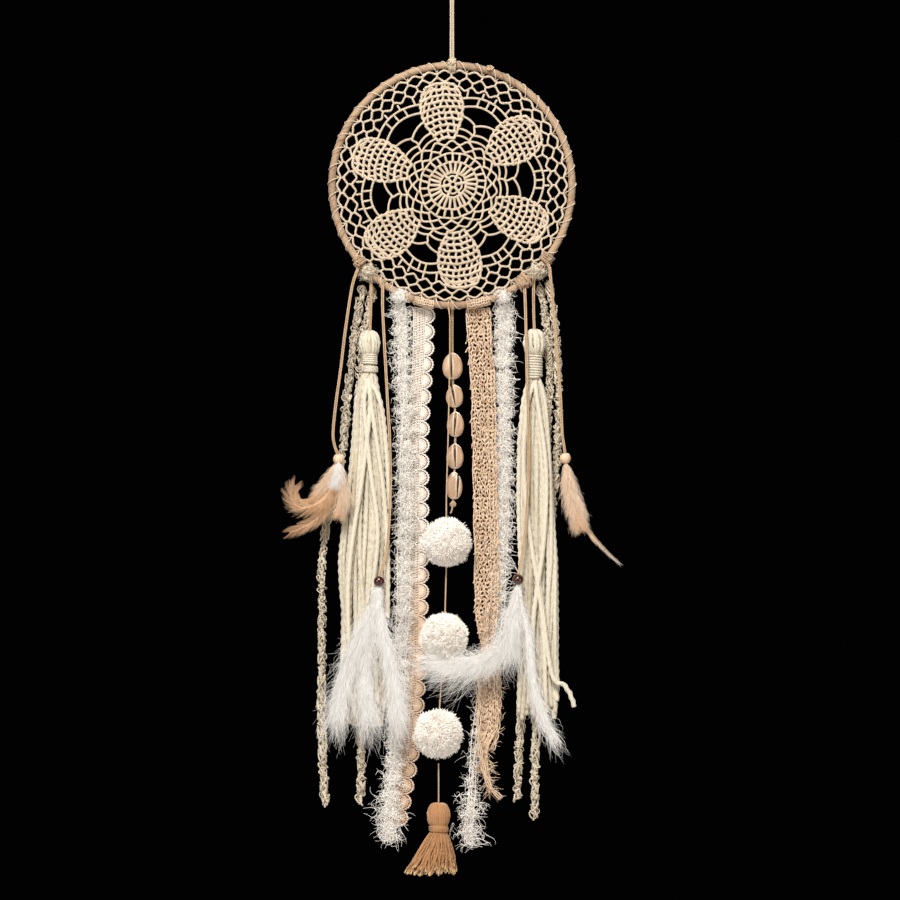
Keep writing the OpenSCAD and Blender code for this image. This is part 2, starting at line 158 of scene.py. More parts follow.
def tubes(paths, radius, sides=6, axis=None, closed=False, lobes=0, pitch=0.0,
          depth=0.16, tone=None, mark=None):
    # p(t) + r(t) (1 + depth cos(lobes a + 2 pi s / pitch)) (u cos a + v sin a)
    paths = np.asarray(paths, float)
    if paths.ndim == 2:
        paths = paths[None]
    count, rings = paths.shape[:2]
    u, v, _ = sideAxes(paths, axis, closed)
    step = np.linalg.norm(np.diff(paths, axis=1), axis=2)
    run = np.concatenate([np.zeros((count, 1)), np.cumsum(step, axis=1)], axis=1)
    a = np.arange(sides) * 2 * pi / sides
    r = np.broadcast_to(np.asarray(radius, float), (count, rings))[..., None]
    if lobes:
        r = r * (1 + depth * np.cos(lobes * a + 2 * pi * run[..., None] / pitch))
    r = r[..., None]
    co = paths[:, :, None] + r * (u[:, :, None] * np.cos(a)[:, None]
                                  + v[:, :, None] * np.sin(a)[:, None])
    first = (np.arange(count) * rings * sides)[:, None, None]
    ring = np.arange(rings if closed else rings - 1)[None, :, None]
    j = np.arange(sides)[None, None, :]
    here = first + ring * sides
    there = first + (ring + 1) % rings * sides
    k = (j + 1) % sides
    quads = np.stack([here + j, there + j, there + k, here + k], axis=-1).reshape(-1, 4)
    faces = [quads]
    if not closed:
        start = first[:, 0] + np.arange(sides)
        faces += [start, start[:, ::-1] + (rings - 1) * sides]
    if tone is None:
        tone = np.full(count, 0.5)
    strand = np.empty((count, rings, sides, 3))
    strand[..., 0] = np.asarray(tone).reshape(count, 1, 1)
    strand[..., 1] = np.linspace(0, 1, rings)[None, :, None]
    strand[..., 2] = run[..., None]
    if mark is not None:
        strand[..., 1] = np.asarray(mark).reshape(count, 1, 1)
    return co.reshape(-1, 3), faces, strand.reshape(-1, 3)


def surface(co, strand, wrapU=False, wrapV=True):
    # faces of a grid of points p(u, v); v runs anticlockwise seen from outside as u rises
    rows, cols = co.shape[:2]
    i = np.arange(rows if wrapU else rows - 1)[:, None]
    j = np.arange(cols if wrapV else cols - 1)[None]
    i2, j2 = (i + 1) % rows, (j + 1) % cols
    quads = np.stack([i * cols + j, i2 * cols + j, i2 * cols + j2, i * cols + j2], axis=-1)
    return co.reshape(-1, 3), [quads.reshape(-1, 4)], np.broadcast_to(
        strand, co.shape).reshape(-1, 3)


def plied(line, plies, offset, pitch, axis=None, phase=0.0, closed=False):
    # strand k: p(s) + offset (u cos w + v sin w), w = 2 pi (s / pitch + k / plies)
    u, v, _ = sideAxes(line[None], axis, closed)
    run = np.concatenate([[0], np.cumsum(np.linalg.norm(np.diff(line, axis=0), axis=1))])
    if closed:
        whole = run[-1] + np.linalg.norm(line[0] - line[-1])
        pitch = whole / max(1, round(whole / pitch))
    w = 2 * pi * (run[None] / pitch + np.arange(plies)[:, None] / plies) + phase
    return line + offset * (u * np.cos(w)[..., None] + v * np.sin(w)[..., None])


def fineRng(name):  # each piece draws its own numbers, from its name
    return np.random.default_rng(sum(ord(c) * (i + 1) for i, c in enumerate(name)))


def addPiece(name, parts, material, body, nodes=(), smooth=True):
    co, loops, starts, strands = [], [], [], []
    base = at = 0
    for points, faces, strand in parts:
        co.append(points)
        strands.append(strand)
        for f in faces:
            loops.append((f + base).ravel())
            starts.append(at + np.arange(len(f)) * f.shape[1])
            at += f.size
        base += len(points)
    co, loops, starts = np.vstack(co), np.concatenate(loops), np.concatenate(starts)
    mesh = bpy.data.meshes.new(name)
    mesh.vertices.add(len(co))
    mesh.vertices.foreach_set("co", co.astype(np.float32).ravel())
    mesh.loops.add(len(loops))
    mesh.loops.foreach_set("vertex_index", loops.astype(np.int32))
    mesh.polygons.add(len(starts))
    mesh.polygons.foreach_set("loop_start", starts.astype(np.int32))
    mesh.polygons.foreach_set("use_smooth", np.full(len(starts), smooth))
    layer = mesh.attributes.new("strand", "FLOAT_VECTOR", "POINT")
    layer.data.foreach_set("vector", np.vstack(strands).astype(np.float32).ravel())
    mesh.update(calc_edges=True)
    mesh.materials.append(material)
    piece = bpy.data.objects.new(name, mesh)
    bpy.context.scene.collection.objects.link(piece)
    if isinstance(body, tuple):  # two bodies and two points are given; the piece is only baked in place
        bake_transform(piece)
    else:
        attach(piece, body)
    if nodes:
        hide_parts(*nodes)
    triangles = sum(f.shape[0] * (f.shape[1] - 2) for part in parts for f in part[1])
    print(f"  {name}: {triangles} triangles")
    return piece


def newGroup(name, inputs, outputs):
    group = bpy.data.node_groups.new(name, "ShaderNodeTree")
    for label, kind, value in inputs:
        socket = group.interface.new_socket(label, in_out="INPUT", socket_type=kind)
        socket.default_value = value
    for label, kind in outputs:
        group.interface.new_socket(label, in_out="OUTPUT", socket_type=kind)
    return group, group.nodes.new("NodeGroupInput"), group.nodes.new("NodeGroupOutput")


def addNode(tree, kind, settings=None, **inputs):
    made = tree.nodes.new(kind)
    for key, value in (settings or {}).items():
        setattr(made, key, value)
    for key, value in inputs.items():
        numbered = key[0] == "i" and key[1:].isdigit()
        socket = made.inputs[int(key[1:]) if numbered else key]
        if hasattr(value, "is_output"):
            tree.links.new(value, socket)
        else:
            socket.default_value = value
    return made


def fibreGroup():
    # broad and fine mottling on object coordinates, and a bump height of both
    group, given, result = newGroup(
        "fibreMottle",
        [("Scale", "NodeSocketFloat", 300.0), ("Fine", "NodeSocketFloat", 6.0)],
        [("Broad", "NodeSocketFloat"), ("Height", "NodeSocketFloat")])
    place = addNode(group, "ShaderNodeTexCoord")
    broad = addNode(group, "ShaderNodeTexNoise", Vector=place.outputs["Object"],
                    Scale=given.outputs["Scale"], Detail=3.0, Roughness=0.6)
    finer = addNode(group, "ShaderNodeMath", {"operation": "MULTIPLY"},
                    i0=given.outputs["Scale"], i1=given.outputs["Fine"])
    fine = addNode(group, "ShaderNodeTexNoise", Vector=place.outputs["Object"],
                   Scale=finer.outputs[0], Detail=2.0)
    both = addNode(group, "ShaderNodeMath", {"operation": "MULTIPLY_ADD"},
                   i0=broad.outputs["Fac"], i1=0.5, i2=fine.outputs["Fac"])
    group.links.new(broad.outputs["Fac"], result.inputs["Broad"])
    group.links.new(both.outputs[0], result.inputs["Height"])
    return group


def strandGroup():
    # each strand's own shade between two colours, then a third towards its tip
    group, given, result = newGroup(
        "strandShade",
        [("Light", "NodeSocketColor", (1, 1, 1, 1)), ("Dark", "NodeSocketColor", (0, 0, 0, 1)),
         ("Tip", "NodeSocketColor", (1, 1, 1, 1)), ("Tip Start", "NodeSocketFloat", 0.6),
         ("Mottle", "NodeSocketFloat", 0.5)],
        [("Color", "NodeSocketColor")])
    kept = addNode(group, "ShaderNodeAttribute", {"attribute_name": "strand"})
    parts = addNode(group, "ShaderNodeSeparateXYZ", Vector=kept.outputs["Vector"])
    shade = addNode(group, "ShaderNodeMath", {"operation": "MULTIPLY_ADD", "use_clamp": True},
                    i0=given.outputs["Mottle"], i1=0.9, i2=parts.outputs["X"])
    lower = addNode(group, "ShaderNodeMath", {"operation": "SUBTRACT", "use_clamp": True},
                    i0=shade.outputs[0], i1=0.45)
    mixed = addNode(group, "ShaderNodeMix", {"data_type": "RGBA"}, i0=lower.outputs[0],
                    i6=given.outputs["Dark"], i7=given.outputs["Light"])
    tip = addNode(group, "ShaderNodeMapRange", Value=parts.outputs["Y"],
                  i1=given.outputs["Tip Start"], i2=1.0, i3=0.0, i4=1.0)
    whole = addNode(group, "ShaderNodeMix", {"data_type": "RGBA"}, i0=tip.outputs[0],
                    i6=mixed.outputs[2], i7=given.outputs["Tip"])
    group.links.new(whole.outputs[2], result.inputs["Color"])
    return group


fibreMottle = fibreGroup()
strandShade = strandGroup()


def startMaterial(name):
    material = bpy.data.materials.new(name)
    material.use_nodes = True
    return material, material.node_tree, material.node_tree.nodes["Principled BSDF"]


def seen(colour):  # a colour as it looks, made linear for the shader
    return tuple(float(c) ** 2.2 for c in colour) + (1,)


def finishShader(tree, shader, mottle, colour, rough, bump, reach):
    # colour, a roughness that wanders with the mottle, and its bump
    roughness = addNode(tree, "ShaderNodeMapRange", Value=mottle.outputs["Broad"],
                        i3=rough[0], i4=rough[1])
    bumps = addNode(tree, "ShaderNodeBump", Strength=bump, Distance=reach,
                    Height=mottle.outputs["Height"])
    tree.links.new(colour, shader.inputs["Base Color"])
    tree.links.new(roughness.outputs[0], shader.inputs["Roughness"])
    tree.links.new(bumps.outputs[0], shader.inputs["Normal"])


def threadMaterial(name, light, dark, tip=None, tipStart=0.999, scale=260, fine=5.0,
                   rough=(0.75, 0.95), bump=0.25, sheen=0.25, reach=0.0004, glow=0.0,
                   shadeBelow=None):
    material, tree, shader = startMaterial(name)
    mottle = addNode(tree, "ShaderNodeGroup", {"node_tree": fibreMottle}, Scale=scale, Fine=fine)
    shade = addNode(tree, "ShaderNodeGroup", {"node_tree": strandShade},
                    Light=seen(light), Dark=seen(dark), Tip=seen(tip or light))
    shade.inputs["Tip Start"].default_value = tipStart
    tree.links.new(mottle.outputs["Broad"], shade.inputs["Mottle"])
    colour = shade.outputs["Color"]
    if shadeBelow:  # painted shade, browner towards the lower end: (height it starts, height it is full, colour)
        place = addNode(tree, "ShaderNodeTexCoord")
        apart = addNode(tree, "ShaderNodeSeparateXYZ", i0=place.outputs["Object"])
        low = addNode(tree, "ShaderNodeMapRange", Value=apart.outputs["Z"], i1=shadeBelow[0], i2=shadeBelow[1])
        mottledShade = addNode(tree, "ShaderNodeMath", {"operation": "MULTIPLY"}, i0=low.outputs[0],
                          i1=addNode(tree, "ShaderNodeMapRange", Value=mottle.outputs["Broad"],
                                     i1=0.2, i2=0.6, i3=0.6, i4=1.0).outputs[0])
        brown = addNode(tree, "ShaderNodeMix", {"data_type": "RGBA", "blend_type": "MULTIPLY"},
                        i0=mottledShade.outputs[0], i6=colour, i7=seen(shadeBelow[2]))
        colour = brown.outputs[2]
    finishShader(tree, shader, mottle, colour, rough, bump, reach)
    shader.inputs["Sheen Weight"].default_value = sheen
    shader.inputs["Specular IOR Level"].default_value = 0.25
    if glow:  # painted glow: the strand's own colour emitted a little, standing in for light passed on through fine fibres
        tree.links.new(shade.outputs["Color"], shader.inputs["Emission Color"])
        shader.inputs["Emission Strength"].default_value = glow
    return material


hangCotton = threadMaterial("hangCotton", (0.9, 0.84, 0.74), (0.66, 0.56, 0.45))
windingThread = threadMaterial("windingThread", (0.82, 0.7, 0.57), (0.46, 0.34, 0.25),
                               rough=(0.5, 0.75), sheen=0.35)
crochetCotton = threadMaterial("crochetCotton", (0.95, 0.89, 0.8), (0.62, 0.51, 0.4))
strandCotton = threadMaterial("strandCotton", (0.87, 0.76, 0.62), (0.6, 0.46, 0.33))
boucleWool = threadMaterial("boucleWool", (0.96, 0.92, 0.85), (0.62, 0.54, 0.42), sheen=0.3)
tasselYarn = threadMaterial("tasselYarn", (0.97, 0.94, 0.87), (0.66, 0.6, 0.49),
                            rough=(0.55, 0.8), sheen=0.5)
lashFibre = threadMaterial("lashFibre", (1.0, 0.985, 0.96), (0.9, 0.87, 0.84),
                           rough=(0.28, 0.5), sheen=0.2, glow=0.12)
# painted shade: the lace is made browner towards its lower end, as the shade that falls there
laceCotton = threadMaterial("laceCotton", (1.0, 0.97, 0.94), (0.84, 0.77, 0.7),
                            shadeBelow=(-0.47, -0.54, (0.93, 0.84, 0.75)))
tanCrochet = threadMaterial("tanCrochet", (1.0, 0.91, 0.8), (0.66, 0.5, 0.36), scale=90)
marabouDown = threadMaterial("marabouDown", (1.0, 0.995, 0.985), (0.93, 0.91, 0.89), sheen=0.3,
                             rough=(0.5, 0.7), glow=0.13)
roosterVane = threadMaterial("roosterVane", (1.0, 0.87, 0.71), (0.72, 0.52, 0.37),
                             tip=(0.62, 0.46, 0.35), tipStart=0.6, sheen=0.3, glow=0.14)
paleDown = threadMaterial("paleDown", (1.0, 0.93, 0.85), (0.86, 0.73, 0.6),
                          tip=(0.9, 0.74, 0.58), tipStart=0.7, sheen=0.4, glow=0.14)
slimVane = threadMaterial("slimVane", (1.0, 0.88, 0.72), (0.78, 0.6, 0.44),
                          tip=(0.62, 0.6, 0.58), tipStart=0.5, sheen=0.4)
pompomWool = threadMaterial("pompomWool", (1.0, 0.99, 0.97), (0.92, 0.87, 0.82), sheen=0.3,
                            glow=0.12)
tanTassel = threadMaterial("tanTassel", (0.82, 0.61, 0.42), (0.5, 0.34, 0.21),
                           tip=(0.9, 0.76, 0.56), tipStart=0.9)

cordRoutes = {
    "hang_cord": [[0, 0, 163.7], [0, 0, 151], [0, 0, 139], [0, 0, 128], [0, 0, 116], [0, 0, 103]],
    "feather_left": [
        [-77, -5, -70], [-81, -7, -84], [-86, -9, -117], [-90, -9, -150],
        [-93.5, -9, -175], [-96, -9, -200], [-95, -9, -210], [-92.3, -9, -218]],
    "feather_right": [
        [79, -5, -67], [81, -7, -90], [83.5, -9, -120], [86, -9, -150],
        [87.8, -9, -175], [89, -9, -200], [90.3, -9, -210], [91.3, -9, -217]],
    "boucle_left_long": [
        [-72, 10, -82], [-76, 12, -100], [-79, 13, -120], [-82, 13, -145], [-85, 13, -170],
        [-87, 13, -195], [-90, 13, -220], [-96, 13, -248], [-102, 13, -275], [-105.5, 13, -305],
        [-106, 13, -345], [-106, 13, -390], [-106, 13, -430], [-105, 13, -465], [-103, 13, -502]],
    "boucle_left_short": [
        [-64, 10, -84], [-68, 12, -100], [-71, 13, -120], [-74, 13, -145], [-76, 13, -175],
        [-77, 13, -210], [-78, 13, -250], [-78, 13, -300], [-77, 13, -350], [-76, 13, -400],
        [-74.5, 13, -440], [-74, 13, -470], [-74.5, 13, -501]],
    "boucle_right_long": [
        [71, 10, -82], [75, 12, -100], [78, 13, -125], [79, 13, -150], [79, 13, -180],
        [76, 13, -215], [72, 13, -260], [67, 13, -310], [62, 13, -360], [58, 13, -410],
        [55, 13, -450], [53.5, 13, -498]],
    "boucle_right_short": [
        [78, 10, -78], [82.5, 12, -100], [85, 13, -130], [86.5, 13, -160], [86.5, 13, -190],
        [84.5, 13, -230], [80, 13, -280], [75, 13, -330], [71, 13, -380], [68.5, 13, -430],
        [67.5, 13, -480], [67.2, 13, -513]],
    "tassel_left": [[-65.6, 0, -79], [-65.6, 0, -92], [-66, 0, -106], [-66.6, 0, -120.2]],
    "tassel_right": [[66.1, 0, -79], [66.1, 0, -92], [66.3, 0, -106], [66.8, 0, -119.2]],
    "marabou_left": [
        [-56, -5, -86], [-56, -8, -100], [-54.7, -12, -125], [-53.3, -13, -150],
        [-52, -13, -175], [-50.5, -13, -200], [-49.6, -13, -230], [-50, -13, -260],
        [-52, -13, -290], [-55.3, -13, -307], [-58.3, -13, -316.6]],
    "marabou_right": [
        [59, -5, -87], [59.5, -8, -105], [60, -12, -130], [60.6, -13, -160],
        [61.4, -13, -190], [61.9, -13, -220], [61, -13, -250], [59, -13, -280],
        [56.5, -13, -300], [54.5, -13, -310], [53.5, -13, -315]],
    "cowrie": [
        [0.4, 4.5, -105], [0.4, 4.5, -120], [0.5, 4.5, -140], [0.8, 4.5, -160],
        [2.3, 4.5, -180], [2.6, 4.5, -200], [2.3, 4.5, -225], [1, 4.5, -255.5]],
    "pompom": [
        [-1.6, -6, -107], [-1.8, -6, -145], [-3, -6, -200], [-4.5, -6, -255], [-4.3, -6, -289],
        [-5, -6, -325], [-6.4, -6, -366], [-8.8, -6, -405], [-11.3, -6, -444], [-11, -6, -465]],
    "small_tassel": [[-10.9, -6, -468], [-10.8, -6, -484], [-10.8, -6, -500]],
}
pairs = [f"{strand}_{side}" for strand in ("feather", "tassel", "marabou")
         for side in ("left", "right")]
cords = {  # what each cord has of its own; widths in millimetres
    "hang_cord": {"node": "hang_cord", "body": "hanging_cord", "width": 3.9, "lay": "taut",
                  "slot": "hanging_cord"},
    **{name: {} for name in pairs},
    "cowrie": {"body": "cowries", "width": 1.8},
    "pompom": {"body": "pompoms", "width": 1.3, "strands": 1},
    "small_tassel": {"width": 1.3, "strands": 1},
}
cords = {name: {"node": name + "_cord", "body": name, "width": 2.6, "strands": 2,
                "lay": "hanging", "slot": "strand_cord", **own} for name, own in cords.items()}


def twistedCord(line, radius, pitch, plies=3):
    # plies wound about the line, each touching its neighbours
    small = radius * 0.54
    return tubes(plied(line, plies, radius - small, pitch), small, 6,
                 tone=np.linspace(0.35, 0.65, plies))


def addCord(name, look):
    rings = 7
    line = smoothRoute(cordRoutes[name], 20)
    line = alongLine(line, np.linspace(0, 1, int(lineLength(line) / mm / 0.55 * rings / 7)))
    half = look["width"] * mm / 2
    if look["strands"] == 2:  # two cords side by side that drift round each other
        run = np.linspace(0, 1, len(line))
        turn = 0.5 * np.sin(2 * pi * run * lineLength(line) / 0.11)
        u, v, _ = sideAxes(line[None], (0, 1, 0), False)
        apart = 0.5 * half * (u[0] * np.cos(turn)[:, None] + v[0] * np.sin(turn)[:, None])
        parts = [twistedCord(line + apart, half / 2, 2.3 * mm),
                 twistedCord(line - apart, half / 2, 2.3 * mm)]
    else:
        parts = [twistedCord(line, half, 2.4 * mm)]
    cotton = hangCotton if name == "hang_cord" else strandCotton
    piece = addPiece(name + "_strands", parts, cotton, look["body"],
                     [look["node"]])


for cordName, cordLook in cords.items():
    addCord(cordName, cordLook)
print("cords made")

boucles = {f"boucle_{side}_{end}": {"body": f"boucle_{side}", "width": 9.6}
           for side in ("left", "right") for end in ("long", "short")}


def curlyStrand(line, reach, turn, thick, chance, sides=6):
    # a soft strand coiling round the line; the coil's width and pace wander
    length = lineLength(line)
    turns = length / turn
    n = int(turns * 15)
    share = np.linspace(0, 1, n)
    wander = np.cumsum(chance.normal(0, 1, n))
    wander = (wander - np.linspace(wander[0], wander[-1], n)) / max(1, np.ptp(wander))
    w = 2 * pi * (turns * share + 2.2 * wander) + chance.uniform(0, 6)
    knots = np.interp(share, np.linspace(0, 1, int(turns * 1.3)),
                      chance.uniform(0.15, 1.25, int(turns * 1.3)))
    centre = alongLine(line, share)
    u, v, t = sideAxes(centre[None], (0, 1, 0), False)
    bob = 0.42 * turn * np.sin(2.3 * w + 1) * (0.4 + knots)
    path = (centre + reach * (knots * np.cos(w))[:, None] * u[0]
            + reach * (knots * np.sin(w))[:, None] * v[0] + bob[:, None] * t[0])
    fat = thick * (1 + 0.3 * np.sin(3.1 * w + 0.7))
    return tubes(path, fat, sides, axis=(0.05, 0.1, 1), tone=[chance.uniform(0.35, 0.7)])


def looseLoops(line, half, apart, thick, chance):
    # small rings beside the line, each in its own plane: c + size (o cos a + q sin a)
    count = int(lineLength(line) / apart)
    share = np.clip((np.arange(count) + chance.normal(0.5, 0.8, count)) / count, 0, 1)
    u, v, t = axesAlong(alongLine(line, np.linspace(0, 1, 200)), share)
    turn = chance.uniform(0, 2 * pi, (count, 1))
    out = u * np.cos(turn) + v * np.sin(turn)
    lean = chance.normal(0, 0.7, (count, 1))
    other = unit(t * np.cos(lean) + (v * np.cos(turn) - u * np.sin(turn)) * np.sin(lean))
    size = half * chance.uniform(0.2, 0.5, (count, 1, 1))
    middle = alongLine(line, share) + out * half * chance.uniform(0.2, 0.5, (count, 1))
    a = np.linspace(0, 2 * pi, 13, endpoint=False)[None, :, None]
    wave = 1 + 0.18 * np.sin(2 * a + turn[:, None])
    paths = middle[:, None] + size * wave * (out[:, None] * np.cos(a)
                                            + 1.25 * other[:, None] * np.sin(a))
    return tubes(paths, thick * chance.uniform(0.8, 1.2, (count, 1)), 4,
                 axis=np.cross(out, other), closed=True, tone=chance.uniform(0.25, 0.75, count))


def addBoucle(name, look):
    chance = fineRng(name)
    line = smoothRoute(cordRoutes[name], 8)
    half = look["width"] * mm / 2
    core = alongLine(line, np.linspace(0, 1, 260))
    parts = [tubes(plied(core, 2, 0.5 * mm, 5 * mm), 0.7 * mm, 6)]
    parts += [curlyStrand(line, half * 0.62, 6.2 * mm, 0.6 * mm, chance) for _ in range(2)]
    parts.append(looseLoops(line, half, 1.25 * mm, 0.48 * mm, chance))
    piece = addPiece(name + "_yarn", parts, boucleWool, look["body"], [name])


for boucleName, boucleLook in boucles.items():
    addBoucle(boucleName, boucleLook)
print("boucle yarns made")


def tangle(middle, reach, loops, thick, chance, sides=6, points=26, squash=(1, 1, 1)):
    # closed wobbling circles about random axes through a middle
    a = np.linspace(0, 2 * pi, points, endpoint=False)
    u = unit(chance.normal(size=(loops, 1, 3)))
    v = unit(np.cross(u, unit(chance.normal(size=(loops, 1, 3)))))
    size = reach * chance.uniform(0.62, 1.0, (loops, 1, 1))
    wave = 1 + 0.16 * np.sin(3 * a[None] + chance.uniform(0, 6, (loops, 1)))[..., None]
    paths = size * wave * (u * np.cos(a)[None, :, None] + v * np.sin(a)[None, :, None])
    paths = np.array(middle) + paths * np.array(squash)
    parts = []
    for path, normal in zip(paths, np.cross(u, v)[:, 0]):
        parts.append(tubes(path, thick, sides, axis=normal, closed=True,
                           tone=[chance.uniform(0.3, 0.7)]))
    return parts


def ringLine(middle, radius, n):
    a = np.linspace(0, 2 * pi, n, endpoint=False)
    return np.array(middle) + radius * np.stack([np.sin(a), 0 * a, np.cos(a)], axis=1)


loopLow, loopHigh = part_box("hang_loop")
loopR = (loopHigh.x - loopLow.x) / 2 - 0.95 * mm
loopLine = ringLine((0, 0, (loopLow.z + loopHigh.z) / 2), loopR, 120)
addPiece("loop_cord", [tubes(p, 0.52 * mm, 6, axis=(0, 1, 0), closed=True, tone=[0.5])
                       for p in plied(loopLine, 3, 0.46 * mm, 2.6 * mm, (0, 1, 0), closed=True)],
         hangCotton, ("hook_loop", "loop_knot", (0, 0, loopHigh.z - 3 * mm),
                      (0, 0, loopLow.z + 2 * mm)), ["hang_loop"])
knotLow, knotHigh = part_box("hang_knot")
addPiece("loop_knot_cord", tangle((knotLow + knotHigh) / 2, 1.75 * mm, 9, 0.75 * mm,
                                  fineRng("loop knot")),
         hangCotton, "loop_knot", ["hang_knot"])


def onHoop(angle, around, reach):
    # the hoop's torus: angle along the ring, around its tube, reach from its core
    far = ringR + reach * np.cos(around)
    return np.stack([far * np.cos(angle), reach * np.sin(around) + 0 * far,
                     hoopZ + far * np.sin(angle)], axis=-1)


def hoopWinding(angle, width, turns, reach, thick, chance, sides=6):
    # thread wound round the hoop's tube, to and fro across the binding's width
    n = turns * 18
    t = np.linspace(0, 1, n)
    to = width / 2 / ringR * np.sin(pi * (turns / 4.5) * t + chance.uniform(0, 3))
    around = 2 * pi * turns * t + chance.uniform(0, 6)
    lift = reach + 0.45 * thick * np.sin(2 * pi * t * turns * 0.37)
    return tubes(onHoop(angle + to, around, lift), thick, sides,
                 axis=(-np.sin(angle), 0, np.cos(angle)), tone=[chance.uniform(0.3, 0.65)])


def hoopAngle(node):
    low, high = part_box(node)
    return float(np.arctan2((low.z + high.z) / 2 - hoopZ, (low.x + high.x) / 2))


bindings = {
    "hoop_knot": {"width": 5, "turns": 7, "reach": 3.9, "thick": 0.85, "layers": 2,
                  "cotton": hangCotton, "slot": "hanging_cord", "lump": 2.6},
    "feather_left_knot": {"width": 4, "turns": 7, "reach": 4.0, "thick": 0.65, "layers": 2,
                          "cotton": windingThread, "slot": "hoop_thread", "lump": 2.4},
    "feather_right_knot": {"width": 6.5, "turns": 10, "reach": 4.0, "thick": 0.65, "layers": 2,
                           "cotton": windingThread, "slot": "hoop_thread", "lump": 2.0},
    "marabou_right_knot": {"width": 9.5, "turns": 13, "reach": 4.0, "thick": 0.7, "layers": 3,
                           "cotton": windingThread, "slot": "hoop_thread", "lump": 3.2},
}


def addBinding(name, look):
    chance = fineRng(name)
    angle = hoopAngle(name)
    parts = [hoopWinding(angle, look["width"] * mm, look["turns"],
                         (look["reach"] + 0.9 * k) * mm, look["thick"] * mm, chance)
             for k in range(look["layers"])]
    lump = onHoop(np.array([angle]), np.array([-1.1]), look["reach"] * mm + 0.0012)[0]
    parts += tangle(lump, look["lump"] * mm, 7, look["thick"] * mm, chance)
    addPiece(name + "_thread", parts, look["cotton"], "hoop", [name])


for bindingName, bindingLook in bindings.items():
    addBinding(bindingName, bindingLook)
print("knots made")

hoopLook = {"turns": 54, "threads": 9, "pointsAlong": 2100, "around": 18, "groove": 0.085,
            "lacings": 46}


def addHoopThread(look):
    # torus; the wound ribbon's edge and its threads run round the tube as they go along it
    n = look["pointsAlong"] // 1
    t = np.linspace(0, 2 * pi, n, endpoint=False)[:, None]
    a = np.linspace(0, 2 * pi, look["around"], endpoint=False)[None]
    slip = 0.25 * np.sin(7 * t) + 0.15 * np.sin(19 * t + 2)
    phase = (look["turns"] * t + a + slip) / (2 * pi)
    within = phase - np.floor(phase)
    edge = np.exp(-(np.minimum(within, 1 - within) / 0.07) ** 2)
    thread = 0.5 + 0.5 * np.cos(2 * pi * look["threads"] * within)
    swell = 1 - look["groove"] * edge + 0.035 * within + 0.012 * thread
    co = onHoop(t + 0 * a, -a + 0 * t, tubeR * 0.985 * swell)
    turn = np.floor(phase)
    # painted shade: the tone drops at each turn's edge, as shade in the groove between turns;
    # otherwise it changes from turn to turn
    tone = 0.52 + 0.2 * np.sin(turn * 12.9898) - 0.35 * edge
    strand = np.stack([tone, 0.3 + 0 * tone, t * ringR + 0 * a], axis=-1)
    return addPiece("hoop_thread", [surface(co, strand, wrapU=True)], windingThread, "hoop",
                    ["hoop_wrap"])


def addLacing(look):
    # a thread that spirals round the hoop and dips to catch the web at each turn
    turns = look["lacings"]
    n = turns * 26
    t = np.linspace(0, 2 * pi, n, endpoint=False)
    around = turns * t
    inward = np.clip(-np.cos(around), 0, 1) ** 6
    jitter = 0.012 * np.sin(5 * t + 1) + 0.01 * np.sin(13 * t)
    reach = tubeR + 0.35 * mm + 2.2 * mm * inward
    line = onHoop(t + jitter, around, reach)
    line[:, 1] *= 1 - 0.75 * inward
    parts = [tubes(p, 0.36 * mm, 5, axis=acrossFace, closed=True, tone=[0.6])
             for p in plied(line, 2, 0.26 * mm, 2.2 * mm, (0.01, 1, 0), closed=True)]
    return addPiece("hoop_lacing", parts, crochetCotton, "hoop", ["web_lacing"])


addHoopThread(hoopLook)
addLacing(hoopLook)
steel, steelTree, steelShader = startMaterial("ringSteel")
steelNoise = addNode(steelTree, "ShaderNodeGroup", {"node_tree": fibreMottle}, Scale=900.0)
steelRough = addNode(steelTree, "ShaderNodeMapRange", Value=steelNoise.outputs["Broad"],
                     i3=0.25, i4=0.5)
steelTint = addNode(steelTree, "ShaderNodeMix", {"data_type": "RGBA"},
                    i0=steelNoise.outputs["Broad"], i6=(0.45, 0.44, 0.43, 1),
                    i7=(0.7, 0.7, 0.69, 1))
steelTree.links.new(steelTint.outputs[2], steelShader.inputs["Base Color"])
steelTree.links.new(steelRough.outputs[0], steelShader.inputs["Roughness"])
steelShader.inputs["Metallic"].default_value = 1
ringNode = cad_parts["hoop_ring"]
ringNode.data.materials.clear()
ringNode.data.materials.append(steel)
print("hoop made")

web = {
    "petals": [97, 35, -26, -84, -141, 162],  # degrees, as hand work falls
    "rows": [37.5, 42.5, 47.5, 52.5, 57.5, 62.5, 67.5, 72.3, 77.0, 81.6],  # row radii
    "outlineR": [37, 44, 50, 56, 62, 69, 77, 82],
    "outlineHalf": [6.0, 9.6, 13.4, 15.6, 16.8, 17.2, 15.0, 11.5],
    "column": 4.2, "thread": 0.88, "post": 0.98, "netLoops": 46,
    "middleRings": [(2.4, 0.95), (10.2, 0.95), (19.2, 0.9), (26.4, 0.85)],  # radius, thread
    "spokes": 6, "stitches": 26, "outerR": 93.2,
}


def polar(r, degrees, y=0.0):
    a = np.radians(degrees)
    x, z = r * np.cos(a), r * np.sin(a)
    pull = np.clip(1 - (r / 93) ** 4, 0, 1)  # hand-made unevenness, none at the rim
    x2 = x + pull * (0.9 * np.sin(z / 17 + 1) + 0.5 * np.sin(x / 9))
    z2 = z + pull * (0.8 * np.sin(x / 15) + 0.5 * np.cos(z / 8))
    return np.stack([x2 * mm, (y + 0 * r) * mm, z2 * mm + hoopZ], axis=-1)


